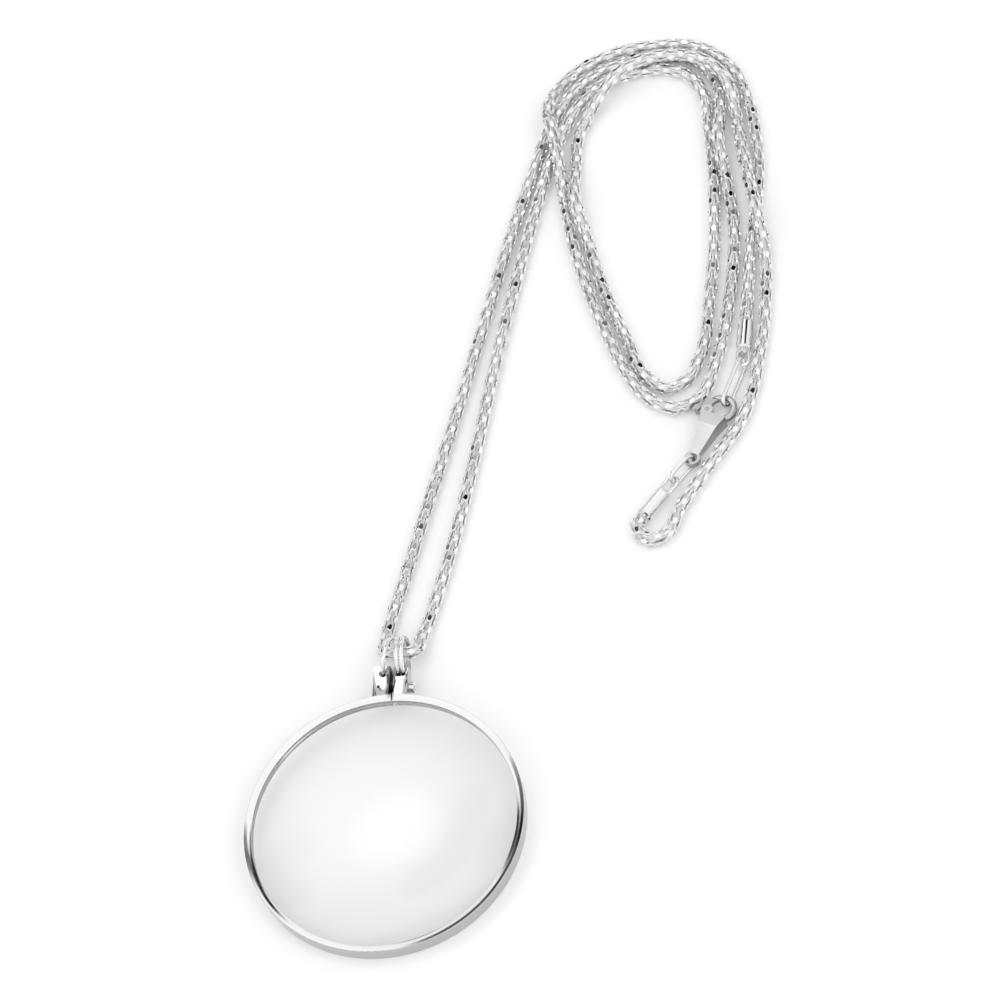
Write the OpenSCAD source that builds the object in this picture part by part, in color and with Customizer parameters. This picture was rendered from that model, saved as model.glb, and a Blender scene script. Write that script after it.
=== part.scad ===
// Magnifier pendant on a woven chain, as it lies on a table.
// Millimetres. The origin is on the floor under the middle of the object's box.
// +Y runs from the lens to the far bend of the chain, +X to the clasp's side, +Z up.

/* [Magnifier] */
// Radius of the clear opening in the rim
opening_r = 22.5; // [18:0.1:28]
// Width of the rim's band, seen from above
rim_w = 1.25; // [0.9:0.05:2.5]
// Height of the rim
rim_h = 3; // [2:0.1:5]
// Rounding of the rim's edges
rim_round = 0.4; // [0.2:0.05:0.6]
// Slope of the rim's top, in degrees, down towards the lens
rim_slope = 12; // [0:1:18]
// Depth of the groove that holds the lens
groove_d = 0.6; // [0.3:0.05:0.8]
// Thickness of the lens at its edge
lens_edge = 1; // [0.6:0.1:1.6]
// Bulge of each lens face at the middle
lens_sag = 1.6; // [0.4:0.1:1.9]
// Clearance between the lens and its groove
lens_fit = 0.1; // [0.05:0.01:0.3]

/* [Clamp] */
// Width of the split in the rim
rim_split = 0.3; // [0.1:0.05:0.5]
// Width of the gap between the lugs, at the rim
split_gap = 0.9; // [0.6:0.05:1.2]
// Width of the gap between the lugs, at their ends
end_gap = 0.5; // [0.3:0.05:0.9]
// Width of the left lug, which holds one ring
left_lug_w = 2.7; // [2.2:0.1:4]
// Width of the right lug, which holds two rings
right_lug_w = 2.3; // [2.2:0.1:4]
// Length of the lugs, from the rim's outside to their ends
lug_len = 5.55; // [5.25:0.05:12]
// Height of the lugs
lug_h = 2.4; // [1.6:0.1:3]
// Diameter of the clamp screw's shank
screw_d = 1.2; // [0.8:0.1:1.6]
// Diameter of the clamp screw's head
screw_head_d = 2; // [1.6:0.1:2.4]
// Diameter of the dimple on the left lug
dimple_d = 0.5; // [0.3:0.05:0.8]

/* [Bail] */
// Wire of the three bail rings
bail_wire = 0.75; // [0.6:0.05:1]
// Radius of the bail rings at the middle of the wire
bail_r = 3.55; // [3.2:0.05:5]
// Radius of the eyes that the bail rings pass through
eye_r = 0.7; // [0.6:0.05:1]
// Turn of the left ring towards the others, in degrees
bail_turn = 12; // [0:1:14]

/* [Chain] */
// Diameter of the woven chain
chain_d = 2.3; // [1.6:0.1:2.3]

/* [Clasp] */
// Outside diameter of the end caps
cap_d = 2.8; // [2.7:0.1:3.2]
// Length of the end caps
cap_len = 5.4; // [4:0.1:5.5]
// Wire of the eyes soldered to the caps
cap_eye_wire = 0.7; // [0.5:0.05:0.8]
// Length of the eyes, from the cap's end
cap_eye_len = 3.7; // [3:0.1:4.5]
// Wire of the oval jump rings
jump_wire = 0.8; // [0.6:0.05:0.9]
// Width of the oval jump rings
jump_w = 3.2; // [2.8:0.1:4]
// Radius of the opening in the clasp's hook
hook_r = 1.7; // [1.4:0.1:2.2]
// Width of the hook's bar
hook_bar = 1.15; // [0.9:0.05:1.4]
// Thickness of the clasp's body
clasp_t = 2.8; // [2.2:0.1:3.2]
// Thickness of the hook and of the tail eye
bar_t = 1.1; // [0.8:0.05:1.3]
// Distance from the hook's middle to the tail eye
clasp_len = 11; // [8:0.1:13]
// Thickness of the lever
lever_t = 0.9; // [0.6:0.1:1.2]
// Diameter of the lever's pin
pin_d = 0.8; // [0.6:0.05:1]

/* [Hidden] */
$fn = 64;

// The chain's routes, each as [x, y, height of the tube's middle].
chain_left_route = [
    [-19.4, -36, 3], [-20.9, -36, 3], [-21.75, -35.2, 2.6], [-22, -32.6, 1.7],
    [-21.5, -28.6, 1.15], [-19.7, -20.9, 1.15], [-12.1, 12.6, 1.15], [0, 64.9, 1.15],
    [2.8, 74.7, 1.15], [5.9, 81, 1.15], [10.4, 85.7, 1.15], [16, 88.1, 1.15], [23, 88.8, 1.15],
    [29.3, 86.9, 1.15], [33, 82.1, 1.15], [34.1, 75.3, 2], [34, 68.1, 2.9],
    [35.5, 58.4, 1.5], [36.8, 49.1, 1.15], [36.2, 33.6, 1.15], [33.9, 19.9, 1.15],
    [31.1, 12.7, 1.15], [27.6, 10.8, 1.15], [24.2, 11.9, 1.15], [21, 14.8, 1.15],
    [17.9, 19.9, 1.15], [14, 29.1, 1.15], [9.4, 42.3, 1.15], [6.3, 56.1, 1.15],
    [5.2, 63.6, 2.5], [4.3, 70.1, 3.7], [2.7, 77.3, 3.5], [3.7, 82.3, 1.8],
    [7.2, 86.8, 1.15], [13, 90.1, 1.15], [21.5, 91.5, 1.15], [29.6, 90.3, 1.15],
    [35.6, 85.2, 1.15], [39, 76.9, 1.15], [40.9, 65.1, 1.15], [39.6, 39.1, 1.15],
    [39.2, 28, 1.4], [38.9, 22.6, 1.4]
];
chain_right_route = [
    [-19.3, -36, 3], [-17.2, -36, 3], [-16.25, -35.2, 2.6], [-15.85, -32.6, 1.7],
    [-14.75, -28.6, 1.15], [-12.9, -20.9, 1.15], [-2.9, 37.5, 1.15], [1.2, 58.6, 1.15],
    [4.8, 72.3, 1.15],
    [8, 79.3, 1.15], [12.1, 83.7, 1.15], [17.4, 85.7, 1.15], [23.2, 86, 1.15],
    [28, 84, 1.15], [30.9, 79.1, 1.15], [32, 71.1, 1.15], [32.7, 34.1, 1.15],
    [31, 21.1, 1.15], [28.9, 16.6, 1.15], [25.5, 15.1, 1.15], [22.4, 17.3, 1.15],
    [17.6, 27.4, 1.15], [13, 39.6, 1.15], [10.2, 49.6, 1.3], [8.2, 57.1, 3.1],
    [7.9, 64.6, 1.4], [8.3, 72.6, 1.15], [10.3, 77.3, 1.5], [12.9, 81.3, 2.9],
    [16.3, 84.9, 3.6], [21, 87, 3.5], [26, 87.1, 3.5], [31, 85.3, 3.6],
    [35.2, 80.7, 3.5], [36.9, 73.9, 1.6], [37.8, 67.6, 2.2], [39.2, 59.9, 3.7],
    [41, 50.6, 3.6], [42.3, 43.6, 2.1], [42.6, 34.1, 1.15], [41.7, 21.6, 1.15],
    [38.9, 8.1, 1.15], [31.5, -4.1, 1.15], [28, -10.3, 1.15], [26.3, -14.4, 1.15],
    [23.5, -15.9, 1.15], [21.4, -14.6, 1.15], [20.9, -12.6, 1.3], [22, -11, 1.4],
    [24.8, -7.2, 1.4]
];

// Where the bail rings stand, and each ring's place across, from the lens's middle line.
bail_at = [-20, -37.55];
ring_x = [-1.3, 1.3, 1.4 + bail_wire];

rim_r = opening_r + rim_w;
lug_end = rim_r + lug_len;
groove_r = opening_r + groove_d;
lens_r = groove_r - lens_fit;
lens_lip = lens_edge / 2 + lens_sag * (1 - pow(opening_r / lens_r, 2));
groove_h = lens_lip + lens_fit;
lens_ball_r = (lens_r * lens_r + lens_sag * lens_sag) / (2 * lens_sag);

// The rings seat this much off the middle of their eyes.
ring_seat = 0.1;
eye_inset = 1.4;
eye_y = lug_end - eye_inset;
slot_fit = 0.08;
slot_side = bail_wire / 2 + slot_fit;
lug_round = 0.35;
lug_start = groove_r + 0.1;

// The clamp screw crosses the lugs a little nearer the rim than halfway to the eyes.
screw_inset = 0.3;
screw_y = (rim_r + eye_y) / 2 - screw_inset;
screw_fit = 0.03;
screw_head_t = 0.9;
screw_head_taper = 0.3;
screw_slot = 0.3;
dimple_depth = 0.35;

// The lugs' gap lies a little to the right, and the rim's split on its right side.
split_x = 0.25;
split_shift = 0.2;
rim_split_x = split_x + split_shift;
lugs_left = split_x - split_gap / 2 - left_lug_w;
lugs_right = split_x + split_gap / 2 + right_lug_w;
ring_out = bail_r + bail_wire / 2;

// The magnifier leans on the rim's near edge and on its upright bail rings.
lean_run = eye_y + rim_r - rim_round;
lean_side = rim_h / 2 - rim_round;
lean = asin((ring_out - rim_round) / sqrt(pow(lean_run, 2) + pow(lean_side, 2)))
    - atan2(lean_side, lean_run);
lens_z = (rim_r - rim_round) * sin(lean) + lean_side * cos(lean) + rim_round;
lens_at = [bail_at[0], bail_at[1] - (bail_r - ring_seat) - eye_y * cos(lean), lens_z];

// End caps: the chain stops short of the bore's floor.
cap_bore_r = chain_d / 2 + 0.05;
cap_floor = 0.7;
chain_stop = 0.1;
cap_edge = 0.3;
cap_end = chain_stop + cap_floor;
cap_z = cap_d / 2;
cap_a_dir = unit(route_end(chain_right_route));
cap_b_dir = unit(route_end(chain_left_route));
cap_a_at = last(chain_right_route);
cap_b_at = last(chain_left_route);

// The clasp lies flat. Its own frame has +Y towards the hook's tip.
clasp_turn = -26;
clasp_at = [35, 9.6, clasp_t / 2];
hook_out = hook_r + hook_bar;
tail_r = 1.4;
tail_hole_r = 0.9;
pivot_at = 2.3 * [cos(222), sin(222)];
hub_r = 1;
gate_reach = 2.93;
gate_gap = 0.07;
slot_gap = 0.05;
pin_fit = 0.02;
hinge_fit = 0.05;

// The clasp body's outline from above, and half of its outline from the side.
body_outline = [[-2.7, -1.9], [-1.8, -4.5], [-0.8, -clasp_len + 1.1],
    [0.8, -clasp_len + 1.1], [1.4, -4.5], [2, -1.9]];
body_side = [[1, clasp_t / 2], [-4.2, clasp_t / 2], [-clasp_len + 1.2, bar_t / 2],
    [-clasp_len, bar_t / 2]];

// The lever: an arc that closes the hook, a hub on the pin and a round thumb pad.
sweep_r = 3 * hook_out;
gate_side = 0.1;
gate_under = 0.15;
lever_hub_r = 0.9;
tab_angle = 176;
tab_len = 2.2;
tab_w = 1;
pad_r = 0.6;
pad_t = 1.6;

// The oval rings bear on the inside of the eyes and bars that they join.
// An upright ring's end bows back across the thickness of a bar. In the hook it also
// stays clear of the swinging gate.
bear = 0.12;
bow = 0.22;
gate_room = 0.3;
hook_room = 0.1;
tail_room = 0.14;
eye_inside = cap_end + cap_eye_len - cap_eye_wire - bear - jump_wire / 2;
jump_lean = 20;
jump_z = (jump_w - jump_wire) / 2 * cos(jump_lean) + jump_wire / 2;
clasp_dir = [-sin(clasp_turn), cos(clasp_turn)];
clasp_side = [cos(clasp_turn), sin(clasp_turn)];
tail_at = [clasp_at[0], clasp_at[1]] - clasp_len * clasp_dir;
hook_bear = [clasp_at[0], clasp_at[1]]
    + (hook_r - bear - bow - jump_wire / 2 - hook_room) * clasp_dir + gate_room * clasp_side;
eye_a_bear = flat(cap_a_at + eye_inside * cap_a_dir);
eye_b_bear = flat(cap_b_at + eye_inside * cap_b_dir);
tail_bear = tail_at + tail_room * unit(tail_at - eye_a_bear);

silver = [0.83, 0.83, 0.84];
dark_silver = [0.66, 0.66, 0.68];
clear = [0.86, 0.92, 0.95, 0.4];

function unit(v) = v / norm(v);
function flat(v) = [v[0], v[1]];
function last(route) = route[len(route) - 1];
function route_end(route) = last(route) - route[len(route) - 2];

// Direction of a route at point i: along both neighbours.
function heading(route, i) =
    unit(route[min(i + 1, len(route) - 1)] - route[max(i - 1, 0)]);

// One ring of the tube: sides points round the route's point i.
function tube_ring(route, i, r, sides) =
    let (ahead = heading(route, i), side = unit(cross([0, 0, 1], ahead)), up = cross(ahead, side))
    [for (k = [0:sides - 1]) route[i] + r * (cos(360 * k / sides) * side + sin(360 * k / sides) * up)];

function tube_points(route, r, sides) =
    [for (i = [0:len(route) - 1]) each tube_ring(route, i, r, sides)];

function tube_faces(rings, sides) = concat(
    [[for (k = [0:sides - 1]) k]],
    [for (i = [0:rings - 2], k = [0:sides - 1], half = [0, 1])
        let (a = i * sides + k, b = i * sides + (k + 1) % sides)
        half == 0 ? [a, a + sides, b + sides] : [a, b + sides, b]],
    [[for (k = [sides - 1:-1:0]) (rings - 1) * sides + k]]);

module tube(route, d, sides = 8) {
    polyhedron(tube_points(route, d / 2, sides), tube_faces(len(route), sides), convexity = 12);
}

// A rectangle with round corners, from its low corner to its high corner.
module round_rect(low, high, r) {
    translate([low[0] + r, low[1]])
        square([high[0] - low[0] - 2 * r, high[1] - low[1]]);
    translate([low[0], low[1] + r])
        square([high[0] - low[0], high[1] - low[1] - 2 * r]);
    for (x = [low[0] + r, high[0] - r], y = [low[1] + r, high[1] - r])
        translate([x, y]) circle(r = r, $fn = 32);
}

// A wire loop with straight sides, lying in XY with its length along X.
// The sides are a hair thinner than the bends, which they run into.
module oval_loop(length, width, wire) {
    straight = length - width;
    bend_r = (width - wire) / 2;
    for (end = [0, 1])
        translate([(end - 0.5) * straight, 0, 0])
            rotate([0, 0, end * 180 + 90])
                rotate_extrude(angle = 180)
                    translate([bend_r, 0]) circle(d = wire, $fn = 24);
    if (straight > 0)
        for (side = [-1, 1])
            translate([-straight / 2 - 0.05, side * bend_r, 0])
                rotate([0, 90, 0]) cylinder(d = wire - 0.02, h = straight + 0.1, $fn = 24);
}

module in_pendant() {
    translate(lens_at) rotate([lean, 0, 0]) children();
}

// The rim's section: round edges, and a top that slopes down to the lens.
module rim_section() {
    fall = (rim_w - rim_round + 1) * tan(rim_slope);
    difference() {
        round_rect([opening_r, -rim_h / 2], [rim_r, rim_h / 2], rim_round);
        translate([0, -groove_h]) square([groove_r, 2 * groove_h]);
        polygon([[rim_r - rim_round, rim_h / 2], [opening_r - 1, rim_h / 2 - fall],
            [opening_r - 1, rim_h / 2 + 1], [rim_r - rim_round, rim_h / 2 + 1]]);
    }
}

// Both lugs, with the gap between them.
module lugs() {
    translate([0, 0, -lug_h / 2]) linear_extrude(lug_h) difference() {
        round_rect([lugs_left, lug_start], [lugs_right, lug_end], lug_round);
        translate([split_x, 0]) polygon([[-split_gap / 2, lug_start - 1],
            [split_gap / 2, lug_start - 1], [end_gap / 2, lug_end + 1], [-end_gap / 2, lug_end + 1]]);
    }
}

// The left lug's round eye and the right lug's slot for two rings.
module eyes() {
    translate([ring_x[0], eye_y, -lug_h]) cylinder(r = eye_r, h = 2 * lug_h, $fn = 48);
    translate([0, 0, -lug_h]) linear_extrude(2 * lug_h)
        round_rect([ring_x[1] - slot_side, eye_y - eye_r], [ring_x[2] + slot_side, eye_y + eye_r],
            lug_round);
}

module rim() {
    color(silver) in_pendant() difference() {
        union() {
            rotate_extrude($fn = 160) rim_section();
            lugs();
        }
        translate([rim_split_x - rim_split / 2, opening_r - 1, -rim_h])
            cube([rim_split, rim_w + 1.1, 2 * rim_h]);
        translate([lugs_left - 1, screw_y, 0]) rotate([0, 90, 0])
            cylinder(r = screw_d / 2 + screw_fit, h = lugs_right - lugs_left + 2, $fn = 48);
        translate([lugs_left + left_lug_w / 3, screw_y, lug_h / 2 - dimple_depth])
            cylinder(d = dimple_d, h = 1, $fn = 32);
        eyes();
    }
}

module lens() {
    color(clear) in_pendant() intersection() {
        cylinder(r = lens_r, h = 3 * lens_sag + lens_edge, center = true, $fn = 160);
        intersection() {
            translate([0, 0, lens_edge / 2 + lens_sag - lens_ball_r]) sphere(r = lens_ball_r, $fn = 400);
            translate([0, 0, lens_ball_r - lens_edge / 2 - lens_sag]) sphere(r = lens_ball_r, $fn = 400);
        }
    }
}

module clamp_screw() {
    head_x = lugs_right + screw_fit;
    color(dark_silver) in_pendant() translate([0, screw_y, 0]) difference() {
        union() {
            translate([lugs_left + 0.1, 0, 0]) rotate([0, 90, 0])
                cylinder(d = screw_d, h = head_x - lugs_left, $fn = 48);
            translate([head_x, 0, 0]) rotate([0, 90, 0])
                cylinder(d1 = screw_head_d - screw_head_taper, d2 = screw_head_d, h = screw_head_t,
                    $fn = 48);
        }
        translate([head_x + screw_head_t - screw_slot, -screw_head_d, -screw_slot / 2])
            cube([1, 2 * screw_head_d, screw_slot]);
    }
}

// An upright ring, turned about the upright wire that passes through the lug.
module bail_ring(x, turn = 0) {
    color(silver) translate([bail_at[0] + x, bail_at[1] - bail_r, ring_out]) rotate([0, 0, -turn])
        translate([0, bail_r, 0]) rotate([0, 90, 0])
            rotate_extrude($fn = 72) translate([bail_r, 0]) circle(d = bail_wire, $fn = 24);
}

module bail_ring_left() { bail_ring(ring_x[0], bail_turn); }

module bail_ring_middle() { bail_ring(ring_x[1]); }

module bail_ring_right() { bail_ring(ring_x[2]); }

module chain_left() { color(silver) tube(chain_left_route, chain_d); }

module chain_right() { color(silver) tube(chain_right_route, chain_d); }

// A cap over the chain's end, which is at its origin, with the eye towards +X.
module end_cap(at, dir) {
    mouth = cap_end - cap_len;
    color(silver) translate([at[0], at[1], cap_z]) rotate([0, 0, atan2(dir[1], dir[0])])
        difference() {
            union() {
                rotate([0, 90, 0]) {
                    translate([0, 0, mouth]) cylinder(d = cap_d, h = cap_len - cap_edge, $fn = 48);
                    translate([0, 0, cap_end - cap_edge])
                        cylinder(d1 = cap_d, d2 = cap_d - 2 * cap_edge, h = cap_edge, $fn = 48);
                }
                translate([cap_end + cap_eye_len / 2 - 0.2, 0, 0])
                    oval_loop(cap_eye_len + 0.4, cap_d - 0.1, cap_eye_wire);
            }
            translate([mouth - 1, 0, 0]) rotate([0, 90, 0])
                cylinder(r = cap_bore_r, h = 1 - mouth + chain_stop, $fn = 48);
        }
}

module end_cap_a() { end_cap(cap_a_at, cap_a_dir); }

module end_cap_b() { end_cap(cap_b_at, cap_b_dir); }

// An oval ring that stands on the floor between two bearing points.
module jump_ring(from, to) {
    run = to - from;
    middle = (from + to) / 2;
    color(silver) translate([middle[0], middle[1], jump_z])
        rotate([0, 0, atan2(run[1], run[0])]) rotate([90 - jump_lean, 0, 0])
            oval_loop(norm(run) + jump_wire, jump_w, jump_wire);
}

module jump_ring_a() { jump_ring(eye_a_bear, tail_bear); }

module jump_ring_b() { jump_ring(hook_bear, eye_b_bear); }

module in_clasp() {
    translate(clasp_at) rotate([0, 0, clasp_turn]) children();
}

// A sector about the origin that is wider than the clasp.
module sector(angles) {
    polygon(concat([[0, 0]], [for (a = angles) sweep_r * [cos(a), sin(a)]]));
}

// The sweep of the gate round its pivot.
module gate_sweep(reach) {
    translate(pivot_at) intersection() {
        circle(r = reach, $fn = 96);
        sector([55, 90, 125, 165, 205]);
    }
}

module clasp_body() {
    color(silver) in_clasp() difference() {
        union() {
            difference() {
                rotate_extrude($fn = 72) round_rect([hook_r, -bar_t / 2], [hook_out, bar_t / 2], 0.35);
                translate([0, 0, -clasp_t]) linear_extrude(2 * clasp_t)
                    gate_sweep(gate_reach + gate_gap);
            }
            intersection() {
                translate([0, 0, -clasp_t / 2]) linear_extrude(clasp_t)
                    polygon(body_outline);
                rotate([90, 0, 90]) translate([0, 0, -hook_out * 2]) linear_extrude(hook_out * 4)
                    polygon(concat(body_side,
                        [for (i = [len(body_side) - 1:-1:0]) [body_side[i][0], -body_side[i][1]]]));
            }
            translate([pivot_at[0], pivot_at[1], -clasp_t / 2])
                cylinder(r = hub_r, h = clasp_t, $fn = 48);
            translate([0, -clasp_len, -bar_t / 2]) cylinder(r = tail_r, h = bar_t, $fn = 48);
        }
        translate([0, -clasp_len, -bar_t]) cylinder(r = tail_hole_r, h = 2 * bar_t, $fn = 48);
        translate([0, 0, -lever_t / 2 - slot_gap]) linear_extrude(lever_t + 2 * slot_gap) {
            gate_sweep(gate_reach + gate_gap);
            translate(pivot_at) circle(r = hub_r + hinge_fit, $fn = 48);
        }
        translate([pivot_at[0], pivot_at[1], -clasp_t])
            cylinder(r = pin_d / 2 + pin_fit, h = 2 * clasp_t, $fn = 48);
    }
}

module clasp_lever() {
    pad_at = pivot_at + tab_len * [cos(tab_angle), sin(tab_angle)];
    color(dark_silver) in_clasp() difference() {
        union() {
            translate([0, 0, -lever_t / 2]) linear_extrude(lever_t) {
                intersection() {
                    difference() {
                        circle(r = hook_out - gate_under, $fn = 96);
                        circle(r = hook_r + gate_side, $fn = 96);
                    }
                    translate(pivot_at) circle(r = gate_reach, $fn = 96);
                    sector([112, 140, 170, 200, 222]);
                }
                translate(pivot_at) {
                    circle(r = lever_hub_r, $fn = 48);
                    rotate([0, 0, tab_angle]) translate([0, -tab_w / 2]) square([tab_len, tab_w]);
                }
            }
            translate([pad_at[0], pad_at[1], -pad_t / 2]) cylinder(r = pad_r, h = pad_t, $fn = 48);
        }
        translate([pivot_at[0], pivot_at[1], -clasp_t])
            cylinder(r = pin_d / 2 + hinge_fit, h = 2 * clasp_t, $fn = 48);
    }
}

module clasp_pin() {
    color(dark_silver) in_clasp()
        translate([pivot_at[0], pivot_at[1], 0.05 - clasp_t / 2])
            cylinder(d = pin_d, h = clasp_t - 0.1, $fn = 48);
}

rim();
lens();
clamp_screw();
bail_ring_left();
bail_ring_middle();
bail_ring_right();
chain_left();
chain_right();
end_cap_a();
end_cap_b();
jump_ring_a();
jump_ring_b();
clasp_body();
clasp_lever();
clasp_pin();
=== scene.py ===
"""Magnifier pendant on a woven chain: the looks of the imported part, lying on a pale table.

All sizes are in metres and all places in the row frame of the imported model.
"""
import logging
import math
from collections.abc import Callable
from dataclasses import dataclass
from enum import Enum

import bmesh
import bpy
from mathutils import Matrix, Vector


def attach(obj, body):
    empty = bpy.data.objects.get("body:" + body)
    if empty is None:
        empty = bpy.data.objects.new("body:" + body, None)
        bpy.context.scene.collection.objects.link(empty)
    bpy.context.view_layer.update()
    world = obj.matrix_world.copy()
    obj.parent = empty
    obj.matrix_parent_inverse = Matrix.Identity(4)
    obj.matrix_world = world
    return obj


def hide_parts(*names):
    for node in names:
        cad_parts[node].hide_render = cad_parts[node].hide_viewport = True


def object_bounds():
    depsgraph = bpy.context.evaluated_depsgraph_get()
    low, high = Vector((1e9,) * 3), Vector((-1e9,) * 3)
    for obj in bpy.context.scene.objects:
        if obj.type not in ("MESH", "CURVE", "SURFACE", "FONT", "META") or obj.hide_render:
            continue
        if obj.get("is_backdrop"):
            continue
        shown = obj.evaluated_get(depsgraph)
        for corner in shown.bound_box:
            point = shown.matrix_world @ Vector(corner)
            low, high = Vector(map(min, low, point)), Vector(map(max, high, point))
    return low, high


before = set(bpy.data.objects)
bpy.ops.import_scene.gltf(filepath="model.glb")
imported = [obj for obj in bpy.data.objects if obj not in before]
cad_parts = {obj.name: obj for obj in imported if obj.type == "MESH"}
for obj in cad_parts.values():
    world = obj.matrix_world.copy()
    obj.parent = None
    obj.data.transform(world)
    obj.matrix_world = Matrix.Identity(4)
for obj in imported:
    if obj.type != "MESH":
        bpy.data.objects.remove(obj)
CAD_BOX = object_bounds()

MM = 0.001
LENS_MIDDLE = (-20.0 * MM, -68.8687 * MM, 2.6042 * MM)
LOG = logging.getLogger("magnifier_pendant")

Socket = bpy.types.NodeSocket
Sockets = bpy.types.bpy_prop_collection
Colour = tuple[float, float, float, float]
Place = tuple[float, float, float]
Route = tuple[Place, ...]
Table = tuple[tuple[float, float], ...]


class Body(Enum):
    """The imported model's rigid bodies."""

    NECKLACE = "necklace"
    LEVER = "clasp_lever"


class Slot(Enum):
    """The record's material slots."""

    POLISHED = "polished_silver"
    DARK = "dark_silver"
    CHAIN = "chain_silver"
    GLASS = "lens_glass"


# Node helpers


def add_node(tree: bpy.types.NodeTree, kind: str, at: tuple[float, float] = (0.0, 0.0),
             **values: object) -> bpy.types.Node:
    """Adds a node and sets its properties and input values.

    Args:
        tree: The tree that gets the node.
        kind: The node's type name.
        at: Its place in the editor.
        **values: Properties by name, and input values by name with underscores for spaces.

    Returns:
        The new node.
    """
    node = tree.nodes.new(kind)
    node.location = at
    for name, value in values.items():
        if hasattr(node, name):
            setattr(node, name, value)
        else:
            node.inputs[name.replace("_", " ")].default_value = value
    return node


def join(tree: bpy.types.NodeTree, source: Socket, target: Socket) -> None:
    """Links an output socket to an input socket."""
    tree.links.new(source, target)


def math_node(tree: bpy.types.NodeTree, operation: str, first: Socket | float,
              second: Socket | float = 0.0, third: Socket | float = 0.0,
              clamp: bool = False) -> Socket:
    """Adds a Math node.

    Args:
        tree: The tree that gets the node.
        operation: The Math node's operation.
        first: A socket or a number.
        second: A socket or a number.
        third: A socket or a number, for an operation on three.
        clamp: Whether the result stays between 0 and 1.

    Returns:
        The node's output socket.
    """
    node = add_node(tree, "ShaderNodeMath", operation=operation, use_clamp=clamp)
    for slot, value in zip(node.inputs, (first, second, third)):
        if isinstance(value, (int, float)):
            slot.default_value = value
        else:
            join(tree, value, slot)
    return node.outputs[0]


def map_range(tree: bpy.types.NodeTree, value: Socket, start: float, full: float,
              low: float = 0.0, high: float = 1.0, curve: str = "LINEAR") -> Socket:
    """Adds a Map Range node.

    Args:
        tree: The tree that gets the node.
        value: The value to map.
        start: The value that gives the low end.
        full: The value that gives the high end.
        low: The result's low end.
        high: The result's high end.
        curve: The kind of interpolation.

    Returns:
        The result's socket.
    """
    node = add_node(tree, "ShaderNodeMapRange", interpolation_type=curve, From_Min=start,
                    From_Max=full, To_Min=low, To_Max=high)
    join(tree, value, node.inputs["Value"])
    return node.outputs["Result"]


def mix_colour(tree: bpy.types.NodeTree, share: Socket, first: Socket | Colour,
               second: Colour, blend: str = "MIX") -> Socket:
    """Adds a Mix node for colours.

    Args:
        tree: The tree that gets the node.
        share: The second colour's share.
        first: The first colour, or its socket.
        second: The second colour.
        blend: How the second colour is laid on the first.

    Returns:
        The mixed colour's socket.
    """
    node = add_node(tree, "ShaderNodeMix", data_type="RGBA", blend_type=blend)
    factor, base, laid = node.inputs[0], node.inputs[6], node.inputs[7]
    join(tree, share, factor)
    if isinstance(first, tuple):
        base.default_value = first
    else:
        join(tree, first, base)
    laid.default_value = second
    return node.outputs[2]


# Shader groups


class ShaderGroup:
    """A shader node group that the materials share.

    NAME is its name, INPUTS its inputs with their values, and OUTPUTS its outputs, each of
    which runs from 0 to 1.
    """

    NAME = ""
    INPUTS: tuple[tuple[str, float], ...] = ()
    OUTPUTS: tuple[str, ...] = ()

    @classmethod
    def group(cls) -> bpy.types.NodeTree:
        """Gives the group, made on first use.

        Returns:
            The group.
        """
        found = bpy.data.node_groups.get(cls.NAME)
        if found:
            return found
        tree = bpy.data.node_groups.new(cls.NAME, "ShaderNodeTree")
        for name, value in cls.INPUTS:
            socket = tree.interface.new_socket(name, in_out="INPUT", socket_type="NodeSocketFloat")
            socket.default_value = value
        for name in cls.OUTPUTS:
            tree.interface.new_socket(name, in_out="OUTPUT", socket_type="NodeSocketFloat")
        cls._fill(tree, add_node(tree, "NodeGroupInput", (-900, 0)).outputs,
                  add_node(tree, "NodeGroupOutput", (700, 0)).inputs)
        return tree

    @classmethod
    def _fill(cls, tree: bpy.types.NodeTree, given: Sockets, result: Sockets) -> None:
        """Builds the group's own nodes.

        Args:
            tree: The group's tree.
            given: The sockets of its inputs.
            result: The sockets of its outputs.
        """
        raise NotImplementedError


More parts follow.
